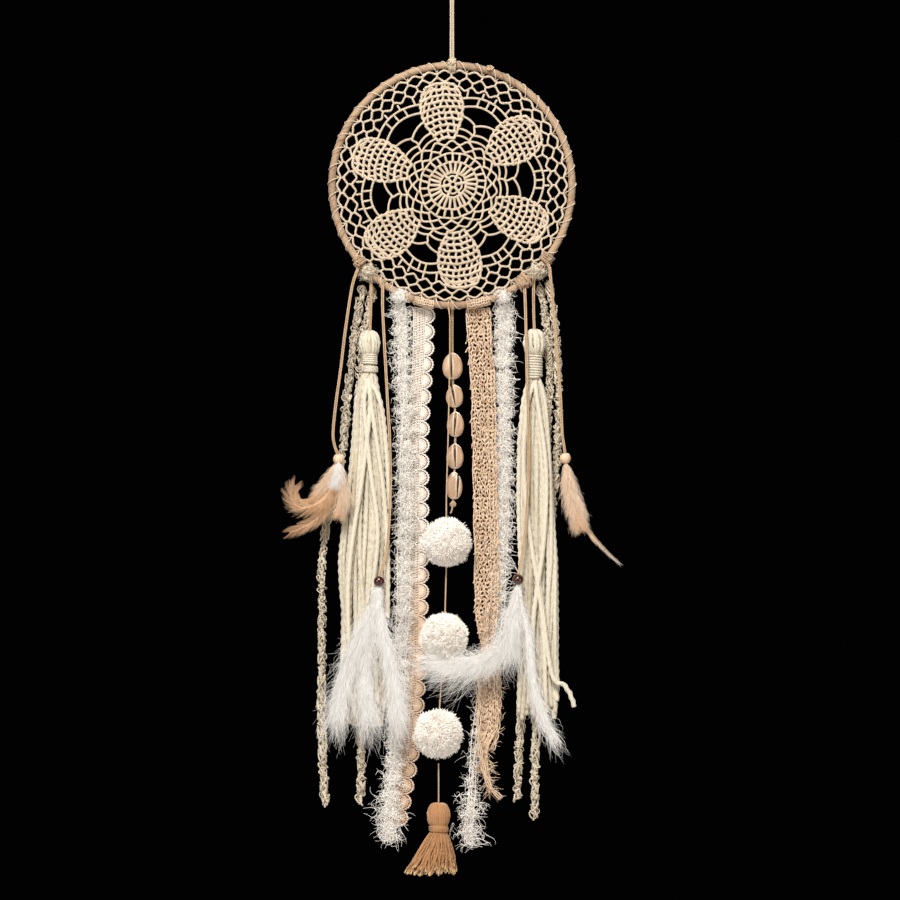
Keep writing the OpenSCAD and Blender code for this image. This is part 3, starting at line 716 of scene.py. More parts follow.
def crochet(line, thick, pitch=2.6, closed=False, sides=5, tone=0.5):
    # two plies wound about the line, with the beat of the stitches in their width
    length = lineLength(line)
    n = max(6, int(length / mm / (0.62)))
    whole = np.vstack([line, line[:1]]) if closed else line
    share = np.linspace(0, 1, n, endpoint=not closed)
    even = alongLine(whole, share)
    beat = 1 + 0.14 * np.cos(2 * pi * share * round(length / mm / (pitch / 2)))
    paths = plied(even, 2, thick * 0.52 * mm, pitch * mm, (0, 1, 0), closed=closed)
    return [tubes(p, thick * 0.66 * mm * beat, sides, axis=(0, 1, 0.001), closed=closed,
                  tone=[tone + 0.12 * (k - 0.5)]) for k, p in enumerate(paths)]


def addWeb(look):
    chance = fineRng("doily")
    thin, post = look["thread"], look["post"]
    middle, petals, net = [], [], []
    a = np.linspace(0, 360, 180, endpoint=False)
    for r, thick in look["middleRings"]:
        middle += crochet(polar(r + 0.25 * np.sin(np.radians(a * 12)), a), thick, closed=True)
    for k in range(look["spokes"]):  # thick spokes of the first round
        middle += crochet(polar(np.linspace(2.5, 10.4, 8), 60 * k + 7 + 0 * np.arange(8)), 1.25)
        middle += crochet(polar(6.2 + 1.1 * np.sin(np.linspace(0, pi, 8)),
                                60 * k + 7 + np.linspace(0, 60, 8)), 0.8)
    apart = 360 / look["stitches"]
    for k in range(look["stitches"]):  # two rounds of upright stitches
        w = np.linspace(0, 1, 7)
        lean = chance.uniform(-2.5, 2.5) * w
        middle += crochet(polar(10.5 + 8.6 * w, apart * k + lean, 0.2), 1.12, 3.0,
                          tone=chance.uniform(0.35, 0.7))
        middle += crochet(polar(19.4 + 6.8 * w, apart * (k + 0.5) + lean, -0.2), 0.98, 3.0,
                          tone=chance.uniform(0.35, 0.7))
    middle += honeycomb([30.2, 35.0], [1.6, 1.6], 18, 26.6, thin, thin + 0.05)
    rows = np.array(look["rows"])
    halves = np.interp(rows, look["outlineR"], look["outlineHalf"])

    def across(r, u, angle):
        return np.degrees(u * np.interp(r, rows, halves) / r) + angle

    order = sorted(look["petals"])
    for n, angle in enumerate(order):
        for i, r in enumerate(rows):  # rows of stitches, bowed outwards
            u = np.linspace(-1, 1, 17)
            bow = r + 1.6 * (1 - u**2) + 0.25 * np.sin(9 * u + i + angle)
            petals += crochet(polar(bow, across(r + 0 * u, u, angle), 0.3 * (-1) ** i),
                              1.32 * thin, tone=chance.uniform(0.4, 0.65))
        for u in (-1, 1):  # the petal's two sides
            r = np.linspace(rows[0], rows[-1], 26)
            petals += crochet(polar(r, across(r, u + 0.05 * np.sin(1.4 * r), angle)), 1.15 * thin)
        for i in range(len(rows) - 1):  # upright stitches, staggered from row to row
            wide = (halves[i] + halves[i + 1]) / 2
            count = max(4, int(round(2 * wide / look["column"])))
            place = (np.arange(count) + 0.5 * (i % 2)) / (count - 1) * 2 - 1
            for u in place[place <= 1.01]:
                w = np.linspace(0, 1, 5)
                lean = 0.16 / count * chance.choice([-1, 1])
                at = u * 0.97 + lean * 4 * (w - 0.5) + chance.normal(0, 0.012)
                r = rows[i] + (rows[i + 1] - rows[i]) * w + 1.6 * (1 - u * u)
                petals += crochet(polar(r, across(r, at, angle), 0.35 * np.sin(w * pi)),
                                  post + chance.uniform(-0.08, 0.1), 2.8,
                                  tone=chance.uniform(0.35, 0.7))
        following = order[(n + 1) % 6] + 360 * (n == 5)
        side = [following, angle]  # the petals on either hand
        between = (angle + following) / 2 + chance.uniform(-2, 2)

        def edge(r, k):
            return side[k] + (1 - 2 * k) * -np.degrees(np.interp(r, rows, halves) / r)
        net += crochet(polar(np.linspace(36.5, 50, 9), between + 1.2 * np.sin(np.arange(9))), thin)
        w = np.linspace(0, 1, 9)
        for k in (0, 1):
            for r0, r1 in ((37.5, 40), (42.5, 45.5), (50, 56)):  # rungs to the petal's side
                far = edge(r1, k)
                net += crochet(polar(r0 + (r1 - r0) * w + 0.8 * np.sin(pi * w),
                                     between + (far - between) * w), thin,
                               tone=chance.uniform(0.4, 0.6))
        for r, high in ((63.5, 3.0), (70.5, 3.2)):  # arches from petal to petal
            u = np.linspace(0, 1, 22)
            net += crochet(polar(r + high * np.sin(pi * u), edge(r, 1) + (edge(r, 0) - edge(
                r, 1)) * u), thin)
        for u in (0.3, 0.5, 0.7):
            lift = 3.0 * np.sin(pi * u)
            place = edge(66, 1) + (edge(66, 0) - edge(66, 1)) * u
            net += crochet(polar(np.linspace(63.5 + lift, 70.7 + lift, 6),
                                 place + chance.uniform(-1, 1) + 0 * np.arange(6)), thin)
        for u in np.linspace(0.12, 0.88, 4):
            lift = 3.2 * np.sin(pi * u)
            place = edge(73, 1) + (edge(73, 0) - edge(73, 1)) * u
            net += crochet(polar(np.linspace(70.5 + lift, 78, 6),
                                 place + chance.uniform(-1, 1) + 0 * np.arange(6)), thin)
    net += honeycomb([79.2, 86.0, 92.0], [1.55, 1.6, 1.2], look["netLoops"], None, thin,
                     thin - 0.02)
    pieces = [addPiece("web_" + label, parts, crochetCotton, "hoop", nodes)
              for label, parts, nodes in (("net", net, ["doily"]), ("petals", petals, []),
                                          ("middle", middle, []))]


def honeycomb(radii, heights, loops, foot, thick, link):
    # rounds r + h cos(n a + i pi), each joined to the next where they come closest
    parts = []
    t = np.linspace(0, 360, loops * 12, endpoint=False)
    places = 360 / loops * np.arange(loops)
    for i, (r, h) in enumerate(zip(radii, heights)):
        wave = r + h * np.cos(np.radians(t * loops) + i * pi) + 0.5 * np.sin(
            np.radians(t * 5) + r) * (r < 90)
        parts += crochet(polar(wave, t, 0.3 * np.sin(np.radians(t * loops / 2))), thick,
                         closed=True)
        if i + 1 < len(radii):
            for a in places + 180 / loops * (i % 2):
                w = np.linspace(0, 1, 5)
                drift = 0.5 * np.sin(np.radians(a * 5) + r) * (1 - w)
                parts += crochet(polar(r + h + drift + (radii[i + 1] - heights[i + 1] - r - h) * w,
                                       a + 0.6 * np.sin(a) * w), link)
        if foot and i == 0:
            for a in places + 180 / loops:
                parts += crochet(polar(np.linspace(foot, r - h, 4), a + 0 * np.arange(4)), link)
    return parts


addWeb(web)
print("web made")


def frizz(line, count, wide, deep, length, curl, turns, thick, chance, points=9, clump=0.0,
          crowd=None):
    # fibres that start inside the strip and curl: p + L w d + c (cos 2 pi k w, sin 2 pi k w)
    share = np.sort(chance.uniform(0, 1, count))
    if crowd:  # how crowded the fibres are at even steps along the strip
        heap = np.append(0, np.cumsum(crowd))
        share = np.interp(share, heap / heap[-1], np.linspace(0, 1, len(heap)))
    share = share + clump * np.sin(2 * pi * share / clump) / 7 if clump else share
    base = alongLine(line, np.clip(share, 0, 1))
    u, v, t = axesAlong(line, share)
    base = base + u * chance.normal(0, wide * 0.42, (count, 1)) + v * chance.normal(
        0, deep * 0.42, (count, 1))
    aim = unit(u * chance.normal(0, 1, (count, 1)) + v * chance.normal(0, 0.45, (count, 1))
               - t * chance.normal(-0.35, 0.8, (count, 1)))
    side = unit(np.cross(aim, unit(chance.normal(size=(count, 3)))))
    up = np.cross(side, aim)
    w = np.linspace(0, 1, points)[None, :, None]
    phase = chance.uniform(0, 6.28, (count, 1, 1))
    wind = 2 * pi * chance.uniform(0.5, 1.0, (count, 1, 1)) * turns * w
    size = curl * chance.uniform(0.4, 1.2, (count, 1, 1))
    reach = length * chance.uniform(0.45, 1.1, (count, 1, 1))
    paths = (base[:, None] + reach * w * aim[:, None]
             + size * (np.cos(wind + phase) - np.cos(phase)) * side[:, None]
             + size * (np.sin(wind + phase) - np.sin(phase)) * up[:, None])
    return tubes(paths, thick * (1 - 0.6 * w[..., 0]), 3, tone=chance.uniform(0.3, 0.75, count))


def barbs(shaft, count, length, lean, spread, thick, chance, sag=0.1, wave=0.07, points=7,
          start=0.0, bend=0.5):
    # barb from its place on the shaft: L (n sin(lean) w + t (cos(lean) w + bend w2)) - sag w2
    share = np.sort(chance.uniform(start, 1, count))
    base = alongLine(shaft, share)
    u, v, t = axesAlong(shaft, share)
    turn = pi * chance.integers(0, 2, count) + chance.normal(0, spread, count)
    out = (u * np.cos(turn)[:, None] + v * np.sin(turn)[:, None])[:, None]
    w = np.linspace(0, 1, points)[None, :, None]
    reach = length(share) * chance.uniform(0.7, 1.12, count)
    reach = reach[:, None, None]
    tilt = (lean * chance.uniform(0.75, 1.25, count))[:, None, None]
    paths = base[:, None] + reach * (out * np.sin(tilt) * (w - 0.25 * w**2)
                                     + t[:, None] * (np.cos(tilt) * w + bend * w**2))
    paths[..., 2] -= (reach * sag * w**2)[..., 0]
    paths = paths + reach * wave * w * np.sin(
        chance.uniform(3, 7, (count, 1, 1)) * w + chance.uniform(0, 6.28, (count, 1, 3)))
    return tubes(paths, thick * (1 - 0.7 * w[..., 0]), 3, mark=share,
                 tone=chance.uniform(0.25, 0.75, count))


def quill(line, thick, tone=0.6):
    return tubes(line, thick * np.linspace(1, 0.25, len(line)), 6, axis=(0, 1, 0), tone=[tone],
                 mark=[0.2])


def rowsAt(rows, z):  # a bundle's middle and half widths at each height
    table = np.array(rows, float)[::-1]
    return [np.interp(z, table[:, 2], table[:, k]) for k in (0, 1, 3, 4)]


def bundle(rows, count, thick, chance, rings=120, uneven=5.0, sides=8, lobes=3, pitch=8.0,
           depth=0.13, fill=0.93, drift=0.35):
    # yarn k keeps its place (rho, theta) in the bundle's oval while the oval widens
    table = np.array(rows, float)
    k = np.arange(count)
    rho = fill * np.sqrt((k + 0.6) / count)
    theta = goldenAngle * k + chance.normal(0, 0.12, count)
    top, low = table[0, 2], table[-1, 2]
    foot = low + chance.uniform(-0.25, 1, count) * uneven
    w = np.linspace(0, 1, rings)[None]
    z = top + (foot[:, None] - top) * w
    x, y, rx, ry = rowsAt(rows, z)
    swing = drift * w * np.sin(chance.uniform(1.5, 4.5, (count, 1)) * w
                               + chance.uniform(0, 6.28, (count, 1)))
    rho = np.clip(rho[:, None] + 0.12 * w * np.sin(5 * w + chance.uniform(0, 6.28, (count, 1))),
                  0, 1)
    angle = theta[:, None] + swing
    paths = np.stack([x + (rx - thick) * rho * np.cos(angle),
                      y + (ry - thick * 0.6) * rho * np.sin(angle), z], axis=-1)
    size = thick * mm * (1 - 0.25 * np.clip(1 - 8 * w, 0, 1))
    return tubes(inFrame(paths), size, sides, axis=acrossFace, lobes=lobes, pitch=pitch * mm,
                 depth=depth, tone=chance.uniform(0.3, 0.72, count))


def headYarns(middle, radius, top, low, neck, count, thick, chance, lobes=3):
    # yarns folded over the head: r(w) = radius sin, closing into the neck
    w = np.linspace(0, 1, 26)[None]
    theta = (2 * pi * (np.arange(count) + chance.uniform(-0.2, 0.2, count)) / count)[:, None]
    r = radius * np.sin(pi * np.clip(0.04 + 0.86 * w, 0, 1)) ** 0.62
    r = np.maximum(r, neck * np.clip(3 * w - 1, 0, 1)) - thick * 0.5
    z = top - 0.6 * thick + (low - top) * (1 - np.cos(pi * w * 0.93)) / 1.976
    paths = np.stack([middle[0] + r * np.cos(theta + 0.25 * w), middle[1] + r * np.sin(
        theta + 0.25 * w), z + 0 * theta], axis=-1)
    return tubes(inFrame(paths), thick * mm, 7, axis=(0.3, 0.1, 1), lobes=lobes, pitch=7 * mm,
                 tone=chance.uniform(0.35, 0.7, count))


def neckWinding(middle, radius, top, low, turns, thick, chance):
    t = np.linspace(0, 1, int(turns * 26))
    a = 2 * pi * turns * t + chance.uniform(0, 6)
    z = top + (low - top) * (t + 0.012 * np.sin(a))
    r = radius * (1 + 0.02 * np.sin(7 * t * pi))
    path = np.stack([middle[0] + r * np.cos(a), middle[1] + r * np.sin(a), z], axis=-1)
    return tubes(inFrame(path), thick * mm, 7, axis=(0, 0, 1), lobes=3, pitch=5 * mm, tone=[0.5])


# windings: top, low, turns, radius, yarn; rows: x, y, z, half width, half depth
tassels = {
    "tassel_left": {
        "middle": (-66.8, 0), "head": 7.9, "top": -118.3, "low": -136.0, "neck": 5.3,
        "winding": [(-137, -145.5, 5, 5.5, 0.95), (-146.8, -151.5, 4, 6.1, 0.75)],
        "rows": [
            [-66.8, 0, -136, 5, 5], [-66.8, 0, -150.6, 5, 5], [-67, 0, -154, 7.5, 5.4],
            [-67.6, 0, -161, 9.8, 6], [-67.6, 0, -174, 12.6, 6.2], [-67.2, 0, -206, 15.4, 6.2],
            [-68.9, 0, -255, 19, 6.2], [-71.7, 0, -304, 22.5, 6.2], [-72, 0, -336, 23, 6],
            [-72.5, 0, -385, 23.5, 5.6], [-73.5, 0, -436, 22.5, 5.2]],
        "stray": [[[-67, -5, -157], [-66, -8, -172], [-62, -8, -200], [-55, -7.5, -250],
                   [-52, -7, -300], [-52, -7, -350]],
                  [[-68, -5, -157], [-71, -8, -178], [-66, -8, -230], [-60, -8, -280],
                   [-64, -8, -340], [-60, -7, -420]],
                  [[-67, -5, -157], [-66, -8, -180], [-73, -8, -240], [-82, -8, -300],
                   [-84, -8, -350], [-79, -7, -430]],
                  [[-67, -4, -157], [-58, -7, -176], [-53.5, -5, -210], [-50.5, -4, -262]]]},
    "tassel_right": {
        "middle": (66.8, 0), "head": 8.3, "top": -117.3, "low": -136.0, "neck": 5.3,
        "winding": [(-136.6, -156.0, 9, 5.7, 1.05)],
        "rows": [
            [66.8, 0, -136, 5, 5], [66.8, 0, -156.2, 5, 5], [66.8, 0, -159, 7.5, 5.4],
            [67, 0, -166, 10, 6], [67.2, 0, -176, 12.6, 6.2], [67, 0, -206, 15.6, 6.2],
            [68.4, 0, -255, 17.4, 6.2], [70.9, 0, -304, 18.2, 6.2], [71, 0, -368, 19, 6],
            [70.8, 0, -430, 19.4, 5.2]],
        "stray": [[[67, -5, -159], [69, -8, -175], [76, -8, -230], [74, -8, -290],
                   [66, -8, -350], [64, -7, -415]],
                  [[67, -5, -159], [61, -8, -178], [58, -8, -230], [64, -8, -290],
                   [73, -8, -350], [76, -7, -425]],
                  [[68, -5, -300], [74, -8, -350], [79.5, -8, -390], [84, -8, -402],
                   [89.5, -8, -403.5], [95, -8, -411], [99, -7.5, -422]]]},
}


def addTassel(name, look):
    chance = fineRng(name)
    mid = look["middle"]
    addPiece(name + "_crown", [headYarns(mid, look["head"], look["top"], look["low"],
                                         look["neck"], 15, 1.75, chance)],
             tasselYarn, name, [name + "_head"])
    addPiece(name + "_binding", [neckWinding(mid, r, top, low, turns, thick, chance)
                                 for top, low, turns, r, thick in look["winding"]],
             tasselYarn, name, [name + "_wrap"])
    rings = 150
    yarns = [bundle(look["rows"], 34, 1.85, chance, rings, 13, drift=0.95, pitch=7.0,
                    depth=0.2)]
    for route in look["stray"]:  # yarns that lie across the others
        stray = evenRoute(route, rings)
        yarns.append(tubes(stray, 1.9 * mm, 8, axis=acrossFace, lobes=3, pitch=7 * mm,
                           depth=0.2, tone=[chance.uniform(0.6, 0.8)]))
    addPiece(name + "_yarns", yarns,
             tasselYarn, name, [name + "_skirt"])


for tasselName, tasselLook in tassels.items():
    addTassel(tasselName, tasselLook)

smallTassel = {
    "middle": (-10.8, -6), "head": 9.0, "top": -500.0, "low": -518.6, "neck": 7.0,
    "rows": [[-10.8, -6, -518, 6.8, 6.8], [-10.8, -6, -523, 6.8, 6.8], [-11.4, -6, -527, 9.4, 7.4],
             [-12.4, -6, -533, 12.4, 8.4], [-14.5, -6, -543, 17.4, 9.4],
             [-17, -6, -556.5, 22.0, 10.2]]}


def addSmallTassel(look):
    chance = fineRng("small tassel")
    mid = look["middle"]
    addPiece("small_tassel_crown", [headYarns(mid, look["head"], look["top"], look["low"],
                                              look["neck"], 34, 0.95, chance, 2)],
             tanTassel, "small_tassel", ["small_tassel_head"])
    addPiece("small_tassel_binding", [neckWinding(mid, 7.4, -518.8, -522.6, 4, 0.55, chance)],
             tanTassel, "small_tassel", ["small_tassel_wrap"])
    frayed = [bundle(look["rows"], 120, 0.66, chance, rings=34, uneven=6.5, sides=5, lobes=2,
                     pitch=3.2, depth=0.2, fill=1.0, drift=0.25) for _ in range(2)]
    addPiece("small_tassel_threads", frayed, tanTassel, "small_tassel",
             ["small_tassel_skirt"])


addSmallTassel(smallTassel)
print("tassels made")


def addFluffyKnot(name, reach, material, strand):
    chance = fineRng(name)
    low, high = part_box(name)
    middle = np.array((low + high) / 2)
    parts = tangle(middle, reach * 0.72 * mm, 11, strand * mm, chance, squash=(1, 0.9, 1))
    stalk = middle + np.array([[0, 0, reach * 0.5 * mm], [0, 0, 0], [0, 0, -reach * 0.5 * mm]])
    parts.append(frizz(alongLine(stalk, np.linspace(0, 1, 12)), 300, reach * mm, reach * mm,
                       reach * 0.85 * mm, 1.6 * mm, 1.1, 0.2 * mm, chance))
    addPiece(name + "_wool", parts, material, "hoop", [name])


addFluffyKnot("boucle_left_knot", 7.2, boucleWool, 1.05)
addFluffyKnot("boucle_right_knot", 7.2, boucleWool, 1.05)
addFluffyKnot("eyelash_left_knot", 6.6, lashFibre, 0.6)
addFluffyKnot("eyelash_right_knot", 6.6, lashFibre, 0.6)

lashes = {
    "eyelash_left": {"fibres": 3300, "wide": 7.6, "crowd": [1] * 12, "route": [
        [-42, 6, -96], [-41, 8, -120], [-39.5, 9.5, -160], [-38, 9.5, -200], [-38, 9.5, -250],
        [-38.5, 9.5, -300], [-40, 9.5, -350], [-42, 9.5, -400], [-45, 9.5, -440],
        [-48.5, 9.5, -480], [-51, 9.5, -510], [-50, 9.5, -532]]},
    "eyelash_right": {"fibres": 2800, "wide": 7.4, "route": [
        [43, 7, -95], [42.5, 9, -120], [42, 10, -160], [42, 10, -200], [42, 10, -250],
        [40, 10, -300], [36, 10, -350], [29, 10, -390], [22, 10, -430], [17.5, 10, -470],
        [15.5, 10, -505], [14, 10, -535]],
        "crowd": [1.1, 1.1, 1.1, 1.1, 1, 0.9, 0.7, 0.4, 0.2, 0.16, 0.25, 0.5]},
}


def ribbonPoint(line, share, across, depth=0.0):
    # a strip's own coordinates: share along it, distance across it and through it
    side, face, _ = axesAlong(line, share)
    return (alongLine(line, share) + side * np.asarray(across)[..., None]
            + face * np.asarray(depth)[..., None])


lashRails = (-4.2, -1.6, 0.9, 3.6)  # millimetres across, the sheer ribbon's long threads
rungStep = 2.6  # millimetres between its cross threads


def addLash(name, look):
    chance = fineRng(name)
    line = evenRoute(look["route"], 200)
    length = lineLength(line)
    s = np.linspace(0, 1, 170)
    parts = []
    for k, rail in enumerate(lashRails):
        sway = rail + 1.3 * np.sin(9 * s + k) + 0.5 * np.sin(37 * s + 2 * k)
        parts.append(tubes(ribbonPoint(line, s, sway * mm, 0.8 * np.sin(21 * s + k) * mm),
                           0.34 * mm, 5, tone=[0.5]))
    rungs = int(length / (rungStep * mm))
    at = (np.arange(rungs) + 0.5) / rungs
    at = at[np.interp(at, np.linspace(0, 1, 12), look["crowd"]) > 0.4]
    rungs = len(at)
    w = np.linspace(-1, 1, 5)[None]
    skew = chance.normal(0, 0.4, (rungs, 1)) * rungStep * mm / length
    ladder = ribbonPoint(line, np.clip(at[:, None] + skew * w, 0, 1), 3.9 * mm * w,
                         0.9 * mm * np.sin(3 * w + 9 * at[:, None]))
    parts.append(tubes(ladder, 0.24 * mm, 3, axis=(0, 0.1, 1),
                       tone=chance.uniform(0.4, 0.7, rungs)))
    piece = addPiece(name + "_ribbon", parts, lashFibre, name, [name + "_yarn"])
    wide = look["wide"] * mm
    share = 1
    fringe = [frizz(line, look["fibres"] // share, wide, 2.4 * mm, 6.5 * mm, 2.5 * mm, 1.2,
                    0.27 * mm, chance, 9, 0.031, look["crowd"]),
              frizz(line, 900 // share, wide * 1.15, 2 * mm, 11 * mm, 1.6 * mm, 0.6,
                    0.24 * mm, chance, 8, 0.043, look["crowd"]),
              frizz(alongLine(line, np.linspace(0.92, 1, 24)), 90, wide * 1.6, 2.5 * mm, 14 * mm,
                    2.6 * mm, 0.8, 0.26 * mm, chance, 10)]
    hairs = addPiece(name + "_fringe", fringe, lashFibre, name)


for lashName, lashLook in lashes.items():
    addLash(lashName, lashLook)
print("fringed yarns made")

lace = {  # millimetres; cords: place across, width; arcs: share of the scallop, width
    "half": 8.4, "scallop": 13.2, "net": 2.1, "netThread": 0.42, "foot": 0.8, "bud": 0.45,
    "cords": [(-8.4, 0.5), (-6.8, 0.34), (-0.5, 0.42), (0.9, 0.42)],
    "arcs": [(1.0, 0.6), (0.74, 0.4), (0.56, 0.32), (0.4, 0.32), (0.22, 0.32)], "route": [
    [-22.5, 6, -99], [-23, 9, -115], [-24, 12, -145], [-26.5, 14, -180], [-27.5, 15, -220],
    [-27.5, 15, -280], [-28, 15, -340], [-30, 15, -400], [-34, 15, -450], [-42, 15, -500],
    [-46, 15, -520]]}


def addLace(look):
    line = evenRoute(look["route"], 260)
    length = lineLength(line)
    half = look["half"] * mm
    parts = []
    s = np.linspace(0, 1, 520)
    sway = 0.5 * mm * np.sin(11 * s)
    for across, thick in look["cords"]:  # straight edge cords
        parts.append(tubes(ribbonPoint(line, s, across * mm + sway, 0.15 * mm * np.sin(300 * s)),
                           thick * mm, 5, lobes=2, pitch=2.2 * mm, tone=[0.6]))
    runs = int(length / (look["net"] * mm))
    w = np.linspace(0, 1, 5)[None]
    at = (np.arange(runs)[:, None] + 0.5) / runs
    lean = 3.4 * mm / length
    fill = []
    for k, sign in enumerate((-1, 1)):  # the ground, two slanting sets of threads
        net = ribbonPoint(line, np.clip(at + sign * lean * (w - 0.5), 0, 1),
                          -half + w * (half + 1.2 * mm), (k - 0.5) * 0.5 * mm + 0 * w)
        fill.append(tubes(net, look["netThread"] * mm, 4, axis=acrossFace,
                          tone=0.4 + 0.2 * at[:, 0]))
    for across in np.linspace(-half + 2.9 * mm, -1.8 * mm, 4):
        fill.append(tubes(ribbonPoint(line, s, across + sway, 0.3 * mm * np.sin(240 * s)),
                          0.36 * mm, 4, tone=[0.55]))
    count = round(length / (look["scallop"] * mm))
    centre = (np.arange(count) + 0.5) / count
    wide = 0.5 / count
    a = np.linspace(0, pi, 15)[None]
    foot = look["foot"] * mm
    for reach, thick in look["arcs"]:
        arc = ribbonPoint(line, centre[:, None] - wide * reach * np.cos(a),
                          foot + (half - foot) * reach * np.sin(a),
                          0.25 * mm * np.cos(3 * a))
        parts.append(tubes(arc, thick * mm, 5, axis=acrossFace, lobes=2, pitch=2 * mm,
                           tone=np.full(count, 0.65)))
    spoke = np.radians(np.linspace(8, 172, 13))
    for near, far, points, thick, tone in ((0.06, 0.76, 4, 0.42, 0.5), (0.74, 1.0, 3, 0.2, 0.6)):
        w = np.linspace(near, far, points)[None, None]
        rays = ribbonPoint(line, centre[:, None, None] - wide * w * np.cos(spoke)[None, :, None],
                           foot + (half - foot) * w * np.sin(spoke)[None, :, None])
        fill.append(tubes(rays.reshape(-1, points, 3), thick * mm, 4, axis=acrossFace,
                          tone=np.full(count * len(spoke), tone)))
    turn = np.radians(np.linspace(20, 160, 9))[None]
    out = 1.06  # the picots stand just past the last arc
    buds = ribbonPoint(line, centre[:, None] - wide * out * np.cos(turn),
                       foot + (half * out - foot) * np.sin(turn))
    bud = buds.reshape(-1, 1, 3) + np.array([[0, 0, k * look["bud"]] for k in (-1, 0, 1)]) * mm
    fill.append(tubes(bud, 0.5 * mm, 4, axis=acrossFace, tone=np.full(len(bud), 0.7)))
    piece = addPiece("scalloped_lace_threads", parts, laceCotton, "lace",
                     ["scalloped_lace"])
    scallops = addPiece("scalloped_lace_scallops", fill, laceCotton, "lace")


addLace(lace)

ribbon = {  # outline: share of the length, share of the width; posts: places across
    "half": 9.3, "row": 3.4, "thread": 0.52,
    "outline": ([0, 0.62, 0.71, 0.73, 0.86, 0.9, 1], [1, 1, 0.36, 0.72, 0.7, 0.3, 0.14]),
    "posts": [-0.96, -0.8, -0.64, -0.48, -0.32, -0.16, 0.0, 0.16, 0.3, 0.58, 0.86, 0.98],
    "edges": [-1, 1, 0.42, 0.74], "route": [
    [21, 4, -100], [22.5, 4, -125], [25, 4, -160], [26, 4, -200], [27, 4, -250], [28, 4, -320],
    [28.5, 4, -380], [31, 4, -430], [26, 4, -462], [31, 4, -492]],
    "strips": [[[22, 2, -380], [21.5, 1, -420], [22.5, 1, -455], [29, 1, -484], [40, 1, -497]],
               [[36, 5, -375], [38.5, 6, -410], [37, 6, -440], [33, 6, -458]],
               [[29, 0, -340], [27.5, -1, -362], [28, -1, -384], [27, -1, -396]]]}


def addRibbon(look):
    # rows of stitches across; between them leaning posts in fans, and a column of eyelets
    chance = fineRng("ribbon")
    line = evenRoute(look["route"], 240)
    length = lineLength(line)
    half = look["half"] * mm
    rows = int(length / (look["row"] * mm))
    step = 1 / rows
    at = np.arange(rows)[:, None] * step
    # narrower towards its ragged lower end
    width = half * np.interp(at, *look["outline"])
    w = np.linspace(-1, 1, 22)[None]
    ruffle = 1 + 0.1 * np.sin(2.2 * np.arange(rows))[:, None]
    slip = 0.28 * step * np.sin(2 * pi * (w * 1.9 + 0.3 * at))
    cross = ribbonPoint(line, np.clip(at + slip, 0, 1), w * width * ruffle,
                        0.9 * mm * np.sin(8 * w + 1.7 * np.arange(rows)[:, None]))
    parts = [tubes(cross, look["thread"] * mm, 6, axis=acrossFace, lobes=2, pitch=2.4 * mm,
                   depth=0.25, tone=chance.uniform(0.35, 0.7, rows))]
    spots = np.array(look["posts"])
    q = np.linspace(0, 1, 6)[None, None]
    lean = chance.normal(0, 0.13, (rows, len(spots), 1))
    foot = spots[None, :, None] + 0.03 * np.sin(3 * at[..., None])
    posts = ribbonPoint(line, np.clip(at[..., None] + step * (1.12 * q - 0.06), 0, 1),
                        (foot + lean * q) * (width * ruffle)[..., None],
                        mm * (chance.normal(0, 0.45, (rows, len(spots), 1)) + 1.1 * np.sin(pi * q)
                              * chance.choice([-1, 1], (rows, len(spots), 1))))
    posts = posts.reshape(-1, 6, 3)
    raised = [tubes(posts, 0.5 * mm, 6, axis=(0, 1, 0.3), lobes=2, pitch=2.2 * mm, depth=0.3,
                    tone=chance.uniform(0.3, 0.75, len(posts)))]
    s = np.linspace(0, 1, 420)
    taper = half * np.interp(s, *look["outline"])
    for side in look["edges"]:
        parts.append(tubes(ribbonPoint(line, s, side * taper * (1 + 0.05 * np.sin(60 * s)),
                                       0.6 * mm * np.sin(75 * s)), 0.5 * mm, 5, lobes=2,
                           pitch=2.4 * mm, tone=[0.55]))
    for route in look["strips"]:  # narrow strips that hang loose at the end
        strip = evenRoute(route, 60)
        for side in (-1, 0, 1):
            raised.append(tubes(ribbonPoint(strip, np.linspace(0, 1, 80), side * 1.3 * mm
                                            * (1 + 0.3 * np.sin(np.linspace(0, 60, 80))),
                                            0.5 * mm * np.sin(np.linspace(0, 45, 80) + side)),
                                0.5 * mm, 5, lobes=2, pitch=2.2 * mm, tone=[0.6 + 0.1 * side]))
        raised.append(frizz(strip, 70, 3 * mm, 1.5 * mm, 7 * mm, 1.2 * mm, 0.8, 0.26 * mm,
                            chance, 7))
    tail = alongLine(line, np.linspace(0.9, 1, 16))
    raised.append(frizz(tail, 120, 5 * mm, 1.5 * mm, 11 * mm, 0.9 * mm, 0.6, 0.3 * mm, chance, 7))
    piece = addPiece("crochet_ribbon_rows", parts, tanCrochet, "crochet",
                     ["crochet_ribbon"])
    stitches = addPiece("crochet_ribbon_stitches", raised, tanCrochet, "crochet")


addRibbon(ribbon)
print("laces made")

